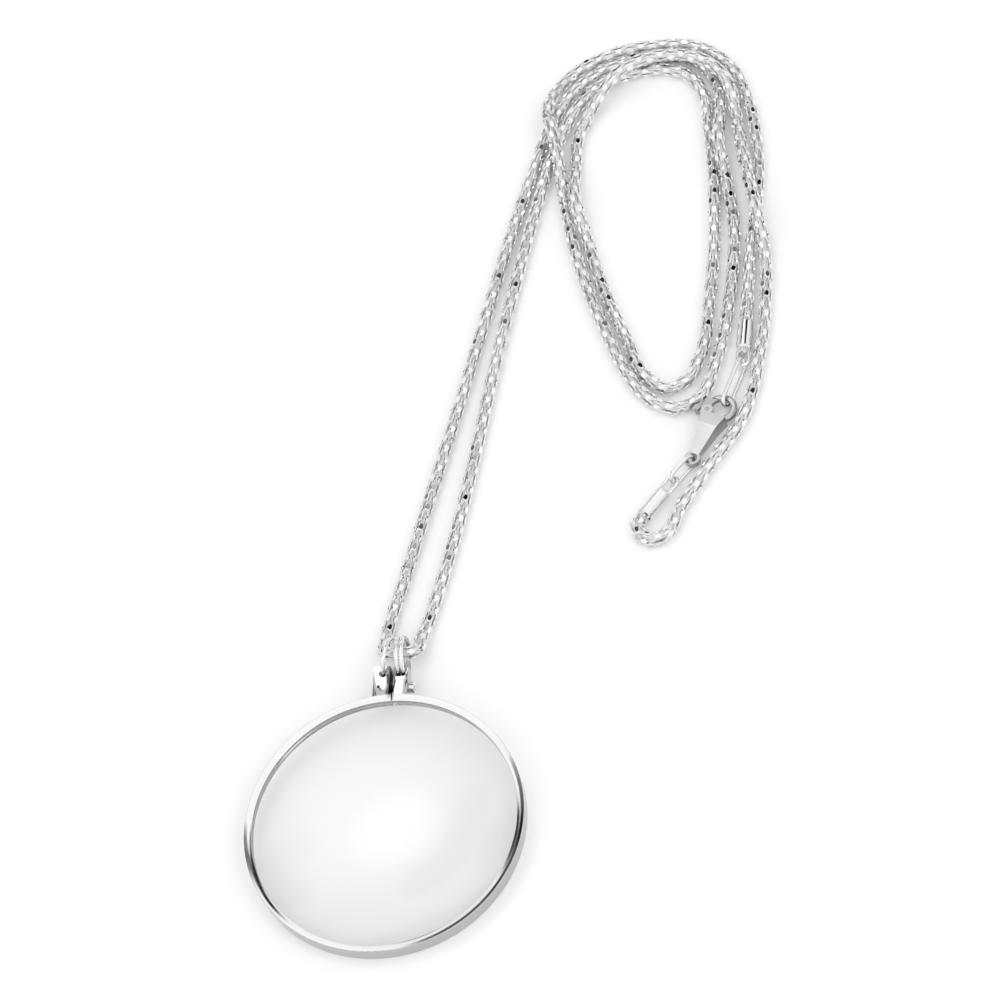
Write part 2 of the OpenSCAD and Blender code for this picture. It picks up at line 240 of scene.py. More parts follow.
class HandWear(ShaderGroup):
    """Wear of handled metal: soft smudges, hairline scratches and a slow change of tone.

    The ranges are the parts of the noises that show. SCRATCH_TURN and SCRATCH_STRETCH draw the
    scratches out in one direction.
    """

    NAME = "hand_wear"
    INPUTS = (("Smudge Scale", 120.0), ("Scratch Scale", 900.0))
    OUTPUTS = ("Smudge", "Scratch", "Tone")
    SMUDGE_RANGE = (0.35, 0.7)
    SCRATCH_RANGE = (0.62, 0.7)
    SCRATCH_TURN = (0.3, 0.2, 0.7)
    SCRATCH_STRETCH = (1.0, 0.06, 1.0)

    @classmethod
    def _fill(cls, tree: bpy.types.NodeTree, given: Sockets, result: Sockets) -> None:
        """Builds a noise for each kind of wear.

        Args:
            tree: The group's tree.
            given: The sockets of its inputs.
            result: The sockets of its outputs.
        """
        place = add_node(tree, "ShaderNodeTexCoord", (-900, 300)).outputs["Object"]
        smudge = add_node(tree, "ShaderNodeTexNoise", (-500, 300), Detail=3.0, Roughness=0.55)
        join(tree, place, smudge.inputs["Vector"])
        join(tree, given["Smudge Scale"], smudge.inputs["Scale"])
        join(tree, map_range(tree, smudge.outputs["Fac"], *cls.SMUDGE_RANGE), result["Smudge"])

        drawn = add_node(tree, "ShaderNodeMapping", (-700, -100))
        drawn.inputs["Rotation"].default_value = cls.SCRATCH_TURN
        drawn.inputs["Scale"].default_value = cls.SCRATCH_STRETCH
        join(tree, place, drawn.inputs["Vector"])
        scratch = add_node(tree, "ShaderNodeTexNoise", (-500, -100), Detail=2.0, Roughness=0.6)
        join(tree, drawn.outputs["Vector"], scratch.inputs["Vector"])
        join(tree, given["Scratch Scale"], scratch.inputs["Scale"])
        join(tree, map_range(tree, scratch.outputs["Fac"], *cls.SCRATCH_RANGE), result["Scratch"])

        tone = add_node(tree, "ShaderNodeTexNoise", (-500, -400), Scale=45.0, Detail=1.0)
        join(tree, place, tone.inputs["Vector"])
        join(tree, tone.outputs["Fac"], result["Tone"])


class PocketShade(ShaderGroup):
    """Painted shade in the pocket between the rim's lugs, and a painted dark spot for a dimple in
    the left one.

    MIDDLE and HALF give the pocket's box and EDGE the share of it that is fully marked.
    With Walls Only at 1, only faces that face sideways by more than FACING are marked.
    """

    NAME = "pocket_tarnish"
    INPUTS = (("Walls Only", 1.0),)
    OUTPUTS = ("Mask",)
    MIDDLE = (-19.75 * MM, -42.65 * MM, 3.7 * MM)
    HALF = (0.68 * MM, 3.5 * MM, 2.0 * MM)
    EDGE = 0.6
    FACING = (0.3, 0.5)
    DIMPLE = (-22.0 * MM, -43.43 * MM, 4.8 * MM)
    DIMPLE_R = 0.34 * MM
    DIMPLE_EDGE = 0.8

    @classmethod
    def _fill(cls, tree: bpy.types.NodeTree, given: Sockets, result: Sockets) -> None:
        """Builds the masks of the painted shade in the pocket and at the dimple.

        Args:
            tree: The group's tree.
            given: The sockets of its inputs.
            result: The sockets of its outputs.
        """
        place = add_node(tree, "ShaderNodeTexCoord", (-900, 300)).outputs["Object"]
        spot = place
        for operation, value in (("SUBTRACT", cls.MIDDLE), ("ABSOLUTE", None),
                                 ("DIVIDE", cls.HALF)):
            step = add_node(tree, "ShaderNodeVectorMath", (-600, 300), operation=operation)
            join(tree, spot, step.inputs[0])
            if value:
                step.inputs[1].default_value = value
            spot = step.outputs["Vector"]
        share = add_node(tree, "ShaderNodeSeparateXYZ", (-300, 300))
        join(tree, spot, share.inputs["Vector"])
        farthest = math_node(tree, "MAXIMUM", share.outputs["X"],
                             math_node(tree, "MAXIMUM", share.outputs["Y"], share.outputs["Z"]))

        facing = add_node(tree, "ShaderNodeSeparateXYZ", (-600, -200))
        join(tree, add_node(tree, "ShaderNodeNewGeometry", (-900, -200)).outputs["Normal"],
             facing.inputs["Vector"])
        wall = map_range(tree, math_node(tree, "ABSOLUTE", facing.outputs["X"]), *cls.FACING)
        kept = math_node(tree, "MAXIMUM", wall,
                         math_node(tree, "SUBTRACT", 1.0, given["Walls Only"]))
        pocket = math_node(tree, "MULTIPLY", map_range(tree, farthest, 1.0, cls.EDGE), kept)

        # The dimple is a painted dark spot: painted shade, with no hollow in the mesh.
        reach = add_node(tree, "ShaderNodeVectorMath", (-600, -500), operation="DISTANCE")
        reach.inputs[1].default_value = cls.DIMPLE
        join(tree, place, reach.inputs[0])
        dimple = map_range(tree, reach.outputs["Value"], cls.DIMPLE_R,
                           cls.DIMPLE_EDGE * cls.DIMPLE_R)
        join(tree, math_node(tree, "MAXIMUM", pocket, dimple), result["Mask"])


class WallShade(ShaderGroup):
    """Painted shade on the rim's upright walls, and past the outer wall on the lugs, darker than
    the polished top.

    INNER and OUTER give the distances from the lens's middle between which the mark of the
    inner and of the outer wall begins and is full.
    """

    NAME = "wall_shade"
    OUTPUTS = ("Mask",)
    INNER = (22.56 * MM, 22.53 * MM)
    OUTER = (23.64 * MM, 23.74 * MM)
    OUTER_SHARE = 0.8

    @classmethod
    def _fill(cls, tree: bpy.types.NodeTree, given: Sockets, result: Sockets) -> None:
        """Builds the mask from the distance to the lens's middle.

        Args:
            tree: The group's tree.
            given: The sockets of its inputs, of which it has none.
            result: The sockets of its outputs.
        """
        reach = add_node(tree, "ShaderNodeVectorMath", (-300, 0), operation="DISTANCE")
        reach.inputs[1].default_value = LENS_MIDDLE
        join(tree, add_node(tree, "ShaderNodeTexCoord", (-600, 0)).outputs["Object"],
             reach.inputs[0])
        inner = map_range(tree, reach.outputs["Value"], *cls.INNER)
        outer = map_range(tree, reach.outputs["Value"], *cls.OUTER, high=cls.OUTER_SHARE)
        join(tree, math_node(tree, "MAXIMUM", inner, outer), result["Mask"])


# Finishes


@dataclass(frozen=True)
class Finish:
    """A procedural material, made on first use.

    Attributes:
        name: The material's name.
    """

    name: str

    def material(self) -> bpy.types.Material:
        """Gives the material, made on first use.

        Returns:
            The material.
        """
        found = bpy.data.materials.get(self.name)
        if found:
            return found
        material = bpy.data.materials.new(self.name)
        material.use_nodes = True
        tree = material.node_tree
        self._dress(tree, tree.nodes["Principled BSDF"])
        return material

    def _dress(self, tree: bpy.types.NodeTree, shader: bpy.types.Node) -> None:
        """Builds the material's own nodes.

        Args:
            tree: The material's tree.
            shader: Its Principled BSDF.
        """
        raise NotImplementedError


@dataclass(frozen=True)
class SilverFinish(Finish):
    """Polished silver plate with light wear.

    Attributes:
        bright: Colour of the clean plate.
        dull: Colour where it has been handled.
        roughness: Roughness of the clean plate.
        wear: How much smudges roughen it.
        scratch_depth: Depth of the hairlines.
        pocket_shaded: Whether the pocket between the lugs gets dark painted shade on it.
        walls_only: 1 when the painted shade covers only the pocket's walls, 0 for all inside it.
        walls: How much painted shade darkens the rim's upright walls, from 0 to 1.

    WALL_TINT multiplies the walls' colour at full painted shade, POCKET_SHADE and
    POCKET_SHADE_ROUGHNESS are the colour and roughness of the pocket's painted shade, and HAIRLINES
    is the strength of the scratches' relief.
    """

    HAIRLINES = 0.3
    WALL_TINT = (0.1, 0.1, 0.105, 1.0)
    POCKET_SHADE = (0.02, 0.02, 0.022, 1.0)
    POCKET_SHADE_ROUGHNESS = 0.55

    bright: Colour = (0.93, 0.93, 0.932, 1.0)
    dull: Colour = (0.84, 0.84, 0.843, 1.0)
    roughness: float = 0.06
    wear: float = 0.1
    scratch_depth: float = 0.01 * MM
    pocket_shaded: bool = False
    walls_only: float = 1.0
    walls: float = 0.0

    def _dress(self, tree: bpy.types.NodeTree, shader: bpy.types.Node) -> None:
        """Builds the worn plate, with painted shade on the walls and in the pocket where it has
        them.

        Args:
            tree: The material's tree.
            shader: Its Principled BSDF.
        """
        shader.inputs["Metallic"].default_value = 1.0
        wear = add_node(tree, "ShaderNodeGroup", (-700, 0), node_tree=HandWear.group())
        colour = mix_colour(tree, wear.outputs["Tone"], self.bright, self.dull)
        rough = math_node(tree, "MULTIPLY_ADD", wear.outputs["Smudge"], self.wear, self.roughness)
        # Painted shade on the rim's walls.
        if self.walls:
            colour = self._walled(tree, colour)
        # Painted shade in the pocket between the lugs.
        if self.pocket_shaded:
            colour, rough = self._shade_pocket(tree, colour, rough)
        join(tree, colour, shader.inputs["Base Color"])
        join(tree, rough, shader.inputs["Roughness"])
        bump = add_node(tree, "ShaderNodeBump", (-300, -300), Strength=self.HAIRLINES,
                        Distance=self.scratch_depth)
        join(tree, wear.outputs["Scratch"], bump.inputs["Height"])
        join(tree, bump.outputs["Normal"], shader.inputs["Normal"])

    def _walled(self, tree: bpy.types.NodeTree, colour: Socket) -> Socket:
        """Paints shade on the rim's upright walls by darkening the metal's colour.

        Args:
            tree: The material's tree.
            colour: The clean metal's colour.

        Returns:
            The new colour's socket.
        """
        wall = add_node(tree, "ShaderNodeGroup", (-700, 800), node_tree=WallShade.group())
        share = math_node(tree, "MULTIPLY", wall.outputs["Mask"], self.walls)
        return mix_colour(tree, share, colour, self.WALL_TINT, "MULTIPLY")

    def _shade_pocket(self, tree: bpy.types.NodeTree, colour: Socket,
                 rough: Socket) -> tuple[Socket, Socket]:
        """Paints shade into the pocket between the lugs, as a darker colour and rougher metal.

        Args:
            tree: The material's tree.
            colour: The clean metal's colour.
            rough: The clean metal's roughness.

        Returns:
            The sockets of the new colour and of the new roughness.
        """
        pocket = add_node(tree, "ShaderNodeGroup", (-700, 500), node_tree=PocketShade.group())
        pocket.inputs["Walls Only"].default_value = self.walls_only
        mask = pocket.outputs["Mask"]
        duller = math_node(tree, "MAXIMUM", rough,
                           math_node(tree, "MULTIPLY", mask, self.POCKET_SHADE_ROUGHNESS))
        return mix_colour(tree, mask, colour, self.POCKET_SHADE), duller


@dataclass(frozen=True)
class WovenFinish(Finish):
    """Silver plate of the woven chain: mirror petals, wires and an inside darkened with painted
    shade.

    Attributes:
        petal: Colour of the flat petals.
        wire: Colour of the wires between them.
        core: Colour of what shows between the wires, darker as painted shade.
        petal_roughness: Roughness of the petals.
        wire_roughness: Roughness of the wires.

    The smudges have a scale, a tint with its largest share, and a roughness that they add.
    """

    SMUDGE_SCALE = 300.0
    SMUDGE_TINT = (0.75, 0.75, 0.76, 1.0)
    SMUDGE_SHARE = 0.2
    SMUDGE_ROUGHNESS = 0.06

    petal: Colour = (0.93, 0.93, 0.932, 1.0)
    wire: Colour = (0.93, 0.93, 0.933, 1.0)
    # Painted shade: the inside is darker than the petals and the wires.
    core: Colour = (0.8, 0.8, 0.805, 1.0)
    petal_roughness: float = 0.05
    wire_roughness: float = 0.3

    def _dress(self, tree: bpy.types.NodeTree, shader: bpy.types.Node) -> None:
        """Builds the nodes, which read what part of the weave a face is from the mesh.

        Args:
            tree: The material's tree.
            shader: Its Principled BSDF.
        """
        shader.inputs["Metallic"].default_value = 1.0
        part = add_node(tree, "ShaderNodeAttribute", (-1000, 200),
                        attribute_name=WeaveParts.MARK).outputs["Fac"]
        ramp = add_node(tree, "ShaderNodeValToRGB", (-700, 200))
        ramp.color_ramp.elements[0].color = self.core
        ramp.color_ramp.elements[1].color = self.petal
        ramp.color_ramp.elements.new(WeaveParts.WIRE_MARK).color = self.wire
        join(tree, part, ramp.inputs["Fac"])
        wear = add_node(tree, "ShaderNodeGroup", (-1000, -100), node_tree=HandWear.group())
        wear.inputs["Smudge Scale"].default_value = self.SMUDGE_SCALE
        smudge = wear.outputs["Smudge"]
        worn = mix_colour(tree, math_node(tree, "MULTIPLY", smudge, self.SMUDGE_SHARE),
                          ramp.outputs["Color"], self.SMUDGE_TINT, "MULTIPLY")
        join(tree, worn, shader.inputs["Base Color"])
        rough = map_range(tree, part, WeaveParts.WIRE_MARK, WeaveParts.PETAL_MARK,
                          self.wire_roughness, self.petal_roughness)
        join(tree, math_node(tree, "MULTIPLY_ADD", smudge, self.SMUDGE_ROUGHNESS, rough),
             shader.inputs["Roughness"])


@dataclass(frozen=True)
class GlassFinish(Finish):
    """Clear polished glass that lets soft light through to the table.

    Attributes:
        tint: Colour of light passing through.
        shade: Colour of the light that it lets fall on the table.
        ior: Index of refraction.
        smear: Roughness of the faint finger smears.
        smear_scale: Scale of the smears.
    """

    tint: Colour = (0.91, 0.91, 0.912, 1.0)
    shade: Colour = (0.955, 0.955, 0.956, 1.0)
    ior: float = 1.52
    smear: float = 0.004
    smear_scale: float = 90.0

    def _dress(self, tree: bpy.types.NodeTree, shader: bpy.types.Node) -> None:
        """Builds the glass, and a plain see-through surface for shadow and diffuse light.

        Args:
            tree: The material's tree.
            shader: Its Principled BSDF.
        """
        shader.inputs["Base Color"].default_value = self.tint
        shader.inputs["Transmission Weight"].default_value = 1.0
        shader.inputs["IOR"].default_value = self.ior
        wear = add_node(tree, "ShaderNodeGroup", (-700, 0), node_tree=HandWear.group())
        wear.inputs["Smudge Scale"].default_value = self.smear_scale
        join(tree, math_node(tree, "MULTIPLY", wear.outputs["Smudge"], self.smear),
             shader.inputs["Roughness"])
        through = add_node(tree, "ShaderNodeBsdfTransparent", (0, -300))
        through.inputs["Color"].default_value = self.shade
        path = add_node(tree, "ShaderNodeLightPath", (-300, 300))
        lit = math_node(tree, "MAXIMUM", path.outputs["Is Shadow Ray"],
                        path.outputs["Is Diffuse Ray"])
        mix = add_node(tree, "ShaderNodeMixShader", (300, 0))
        for source, target in zip((lit, shader.outputs[0], through.outputs[0]), mix.inputs):
            join(tree, source, target)
        join(tree, mix.outputs[0], tree.nodes["Material Output"].inputs["Surface"])


POLISHED = SilverFinish("silver_polished")
# The rim gets painted shade on its walls and in the pocket between its lugs.
RIM = SilverFinish("silver_rim", pocket_shaded=True, walls_only=0.08, walls=0.55)
# The clasp body: a much darker copy of the same silver, painted shade so that its flats read grey.
SATIN_SHADED = SilverFinish("silver_handled", bright=(0.5, 0.5, 0.505, 1.0),
                     dull=(0.4, 0.4, 0.405, 1.0), roughness=0.22, wear=0.12)
# The clamp screw: a slightly darker silver, with painted shade on all of it that lies in the
# pocket.
DARK = SilverFinish("silver_dark", bright=(0.85, 0.85, 0.86, 1.0), dull=(0.7, 0.7, 0.71, 1.0),
                    roughness=0.1, pocket_shaded=True, walls_only=0.0)
WOVEN = WovenFinish("silver_woven")
# The clasp's pin and lever: a much darker copy of the same silver, painted shade for the grey that
# their rounded tops reflect.
PIN_LEVER_SHADED = SilverFinish("silver_thumbed", bright=(0.42, 0.42, 0.43, 1.0),
                       dull=(0.28, 0.28, 0.29, 1.0), roughness=0.22)
CLEAR = GlassFinish("lens_glass_clear")


# Pieces

MERGE_DISTANCE = 0.002 * MM
SLIVER_LENGTH = 0.001 * MM
BEVEL_STEPS = 3


def linked(name: str, data: bpy.types.ID) -> bpy.types.Object:
    """Makes an object and links it to the scene.

    Args:
        name: The object's name.
        data: Its mesh, curve, lamp or camera.

    Returns:
        The object.
    """
    made = bpy.data.objects.new(name, data)
    bpy.context.scene.collection.objects.link(made)
    return made


def declare(piece: bpy.types.Object, body: Body, slot: Slot, *nodes: str) -> bpy.types.Object:
    """Declares a finished piece to the frame.

    Args:
        piece: The finished object, at the origin.
        body: The body that carries it.
        slot: The record's slot for its finish; not used.
        *nodes: The CAD nodes that it stands for.

    Returns:
        The same piece.
    """
    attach(piece, body.value)
    if nodes:
        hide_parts(*nodes)
    LOG.info("%s: %d faces", piece.name, len(piece.data.polygons))
    return piece


def settled(piece: bpy.types.Object) -> bpy.types.Object:
    """Turns a piece with live modifiers into a plain mesh under the same name.

    Args:
        piece: The object with its modifiers.

    Returns:
        A new object with the evaluated mesh; the old one is removed.
    """
    name = piece.name
    graph = bpy.context.evaluated_depsgraph_get()
    mesh = bpy.data.meshes.new_from_object(piece.evaluated_get(graph))
    bpy.data.objects.remove(piece)
    mesh.name = name
    return linked(name, mesh)


def polished_copy(node: str, name: str, finish: Finish,
                  crease: float = 32.0, bevel: float = 0.0,
                  rounded: Callable[[Vector], bool] | None = None,
                  refine: Callable[[bmesh.types.BMesh], None] | None = None) -> bpy.types.Object:
    """Copies a CAD node's mesh, joins its loose triangles and shades it smooth.

    Args:
        node: The CAD node to copy.
        name: The new piece's name.
        finish: The finish that it wears.
        crease: Edges sharper than this angle, in degrees, stay sharp.
        bevel: Width of the rounding on sharp edges, in metres; 0 leaves them.
        rounded: Says of an edge's middle whether the edge is rounded; None rounds all.
        refine: Divides faces of the merged mesh where it is too coarse.

    Returns:
        The new object.
    """
    form = bmesh.new()
    form.from_mesh(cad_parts[node].data)
    bmesh.ops.remove_doubles(form, verts=form.verts, dist=MERGE_DISTANCE)
    bmesh.ops.dissolve_degenerate(form, edges=form.edges, dist=SLIVER_LENGTH)
    if refine:
        refine(form)
    limit = math.radians(crease)
    weight = form.edges.layers.float.new("bevel_weight_edge")
    for face in form.faces:
        face.smooth = True
    for edge in form.edges:
        edge.smooth = edge.is_manifold and edge.calc_face_angle(0.0) < limit
        middle = (edge.verts[0].co + edge.verts[1].co) / 2
        edge[weight] = float(not edge.smooth and (rounded is None or rounded(middle)))
    mesh = bpy.data.meshes.new(name)
    form.to_mesh(mesh)
    form.free()
    mesh.materials.append(finish.material())
    piece = linked(name, mesh)
    if bevel:
        rounding = piece.modifiers.new("edge_rounding", "BEVEL")
        rounding.width = bevel
        rounding.segments = BEVEL_STEPS
        rounding.limit_method = "WEIGHT"
        rounding.use_clamp_overlap = True
    facing = piece.modifiers.new("face_weighting", "WEIGHTED_NORMAL")
    facing.keep_sharp = True
    return settled(piece)


@dataclass(frozen=True)
class RimForm:
    """The rim's exact section, as in the part's source, for its shading.

    Attributes:
        middle: The lens's middle, in metres.
        lean: The magnifier's lean about X, in degrees.
        inner_r: Radius of the opening.
        outer_r: Radius of the rim's outside.
        half_h: Half of the rim's height.
        corner_r: Radius of the section's corners.
        slope: Slope of the top towards the lens, in degrees.
        shown: The top's outward tilt as it is shaded, in degrees, by the distance from the
            opening in metres: worn smoother than the section.
        crest: Height of the outer corner above the section's top, by the distance from the
            corner's start: a little crisper than the section.

    CLOSE is the play in telling whether a vertex lies on the outer corner, and LUGS_FROM how
    far past the ring the lugs begin. An edge that spans more than COARSE of the corner is cut
    CUTS times. A vertex is of a corner when its distance from the corner's middle line, as a
    share of the radius, is within CORNER_REACH. The crest moves vertices from BELOW_TOP under
    the section to ABOVE_TOP over it, up to OUTER_END from the ring's outside. A face is of the
    top when its upward share is more than UPWARD, and a direction is used when it agrees with
    its face's by more than TOP_MATCH or WALL_MATCH.
    """

    CLOSE = 0.01 * MM
    LUGS_FROM = 0.02 * MM
    COARSE = 0.12 * MM
    CUTS = 7
    CORNER_REACH = (0.8, 1.2)
    OUTER_END = 0.002 * MM
    BELOW_TOP = 0.15 * MM
    ABOVE_TOP = 0.03 * MM
    UPWARD = 0.25
    TOP_MATCH = 0.5
    WALL_MATCH = 0.85

    middle: Place = LENS_MIDDLE
    lean: float = 2.71346
    inner_r: float = 22.5 * MM
    outer_r: float = 23.75 * MM
    half_h: float = 1.5 * MM
    corner_r: float = 0.4 * MM
    slope: float = 12.0
    shown: Table = (
        (0.0, -78.0), (0.08 * MM, -20.0), (0.85 * MM, -12.5), (1.19 * MM, -12.0),
        (1.22 * MM, 5.0), (1.24 * MM, 40.0), (1.25 * MM, 90.0),
    )
    crest: Table = (
        (0.0, 0.0), (0.27 * MM, 0.057 * MM), (0.31 * MM, 0.06 * MM), (0.34 * MM, 0.05 * MM),
        (0.37 * MM, 0.02 * MM), (0.39 * MM, -0.03 * MM), (0.4 * MM, -0.1 * MM),
    )

    def beyond(self, spot: Vector) -> bool:
        """Says whether a place lies outside the ring, on the lugs."""
        local = self._local(spot)
        return math.hypot(local.x, local.y) > self.outer_r + self.LUGS_FROM

    def _local(self, spot: Vector) -> Vector:
        """Gives a place in the magnifier's own frame."""
        return self._turn().inverted() @ (spot - Vector(self.middle))

    def _turn(self) -> Matrix:
        """Gives the magnifier's lean as a rotation."""
        return Matrix.Rotation(math.radians(self.lean), 3, "X")

    def _directions(self, r: float, z: float) -> list[tuple[float, float]]:
        """Lists the directions that the section's surfaces may face at a place.

        Args:
            r: Distance from the lens's axis.
            z: Height above the lens's middle plane.

        Returns:
            Pairs of an outward and an upward share.
        """
        nearest, farthest = self.CORNER_REACH
        tilt = math.radians(self.slope)
        found = [(-math.sin(tilt), math.cos(tilt)), (1.0, 0.0), (-1.0, 0.0), (0.0, -1.0)]
        for centre_r in (self.inner_r + self.corner_r, self.outer_r - self.corner_r):
            for centre_z in (self.half_h - self.corner_r, self.corner_r - self.half_h):
                out, rise = r - centre_r, z - centre_z
                length = math.hypot(out, rise)
                if nearest * self.corner_r < length < farthest * self.corner_r:
                    found.append((out / length, rise / length))
        return found

    @staticmethod
    def _between(table: Table, at: float) -> float:
        """Reads a table of pairs, in straight lines between them.

        Args:
            table: Pairs of a place and a value, in order.
            at: The place to read, kept inside the table.

        Returns:
            The value there.
        """
        place = min(max(at, table[0][0]), table[-1][0])
        value = table[-1][1]
        for (low, first), (high, last) in zip(table, table[1:]):
            if low <= place < high:
                value = first + (last - first) * (place - low) / (high - low)
        return value

    def _top(self, r: float) -> tuple[float, float]:
        """Gives the direction that the worn top faces.

        Args:
            r: Distance from the lens's axis.

        Returns:
            An outward and an upward share.
        """
        tilt = math.radians(self._between(self.shown, r - self.inner_r))
        return math.sin(tilt), math.cos(tilt)

    def _across(self, spot: Vector) -> tuple[float, float]:
        """Gives how far into the outer corner a place lies, and its height."""
        local = self._local(spot)
        return math.hypot(local.x, local.y) - self.outer_r + self.corner_r, local.z

    def fill(self, form: bmesh.types.BMesh) -> None:
        """Divides the faces that span much of the ring's outer corner in one step.

        Args:
            form: The rim's mesh under construction.
        """
        wide = []
        for edge in form.edges:
            ends = [self._across(vertex.co) for vertex in edge.verts]
            inside = all(-self.CLOSE < across < self.corner_r + self.CLOSE
                         and z > self.half_h - self.corner_r - self.CLOSE for across, z in ends)
            if inside and abs(ends[0][0] - ends[1][0]) > self.COARSE:
                wide.append(edge)
        bmesh.ops.subdivide_edges(form, edges=wide, cuts=self.CUTS)
        bmesh.ops.triangulate(form, faces=[face for face in form.faces if len(face.verts) > 4])

    def crisp(self, piece: bpy.types.Object) -> None:
        """Carries the ring's slope on to a tighter outer corner.

        Args:
            piece: The rim, whose lugs keep their form.
        """
        turn = self._turn()
        for vertex in piece.data.vertices:
            local = self._local(vertex.co)
            across = math.hypot(local.x, local.y) - self.outer_r + self.corner_r
            if not self.CLOSE < across < self.corner_r - self.OUTER_END:
                continue
            drop = self.corner_r - math.sqrt(self.corner_r ** 2 - across ** 2)
            if -self.BELOW_TOP < local.z - self.half_h + drop < self.ABOVE_TOP:
                local.z = self.half_h + self._between(self.crest, across)
                vertex.co = turn @ local + Vector(self.middle)
        piece.data.update()

    def shade(self, piece: bpy.types.Object) -> None:
        """Gives the ring's corners the directions of the section's surfaces.

        Args:
            piece: The rim, whose lugs keep their own shading.
        """
        mesh = piece.data
        turn = self._turn()
        facing = [Vector(corner.vector) for corner in mesh.corner_normals]
        for face in mesh.polygons:
            if self.beyond(face.center):
                continue
            flat = turn.inverted() @ face.normal
            on_top = flat.z > self.UPWARD
            least = self.TOP_MATCH if on_top else self.WALL_MATCH
            for corner in face.loop_indices:
                local = self._local(mesh.vertices[mesh.loops[corner].vertex_index].co)
                r = math.hypot(local.x, local.y)
                shares = [self._top(r)] if on_top else self._directions(r, local.z)
                ways = [
                    Vector((local.x / r * out, local.y / r * out, rise)) for out, rise in shares
                ]
                best = max(ways, key=flat.dot)
                facing[corner] = turn @ (best if best.dot(flat) > least else flat)
        mesh.normals_split_custom_set(facing)


@dataclass
class Magnifier:
    """The lens in its split rim, with the clamp screw.

    Attributes:
        edge: Rounding of the lugs' and the screw's edges.
        form: The rim's section.
    """

    edge: float = 0.06 * MM
    form: RimForm = RimForm()

    def build(self) -> list[bpy.types.Object]:
        """Returns:
            The pieces.
        """
        rim = polished_copy("rim", "rim_silver", RIM, bevel=self.edge, rounded=self.form.beyond,
                            refine=self.form.fill)
        self.form.crisp(rim)
        self.form.shade(rim)
        lens = polished_copy("lens", "lens_clear", CLEAR)
        screw = polished_copy("clamp_screw", "clamp_screw_silver", DARK, bevel=self.edge)
        return [
            declare(rim, Body.NECKLACE, Slot.POLISHED, "rim"),
            declare(lens, Body.NECKLACE, Slot.GLASS, "lens"),
            declare(screw, Body.NECKLACE, Slot.DARK, "clamp_screw"),
        ]


@dataclass
class Bail:
    """The three rings that carry the magnifier on the chain."""

    rings: tuple[str, ...] = ("bail_ring_left", "bail_ring_middle", "bail_ring_right")

    def build(self) -> list[bpy.types.Object]:
        """Returns:
            The pieces.
        """
        return [
            declare(polished_copy(ring, f"{ring}_silver", POLISHED),
                    Body.NECKLACE, Slot.POLISHED, ring)
            for ring in self.rings
        ]


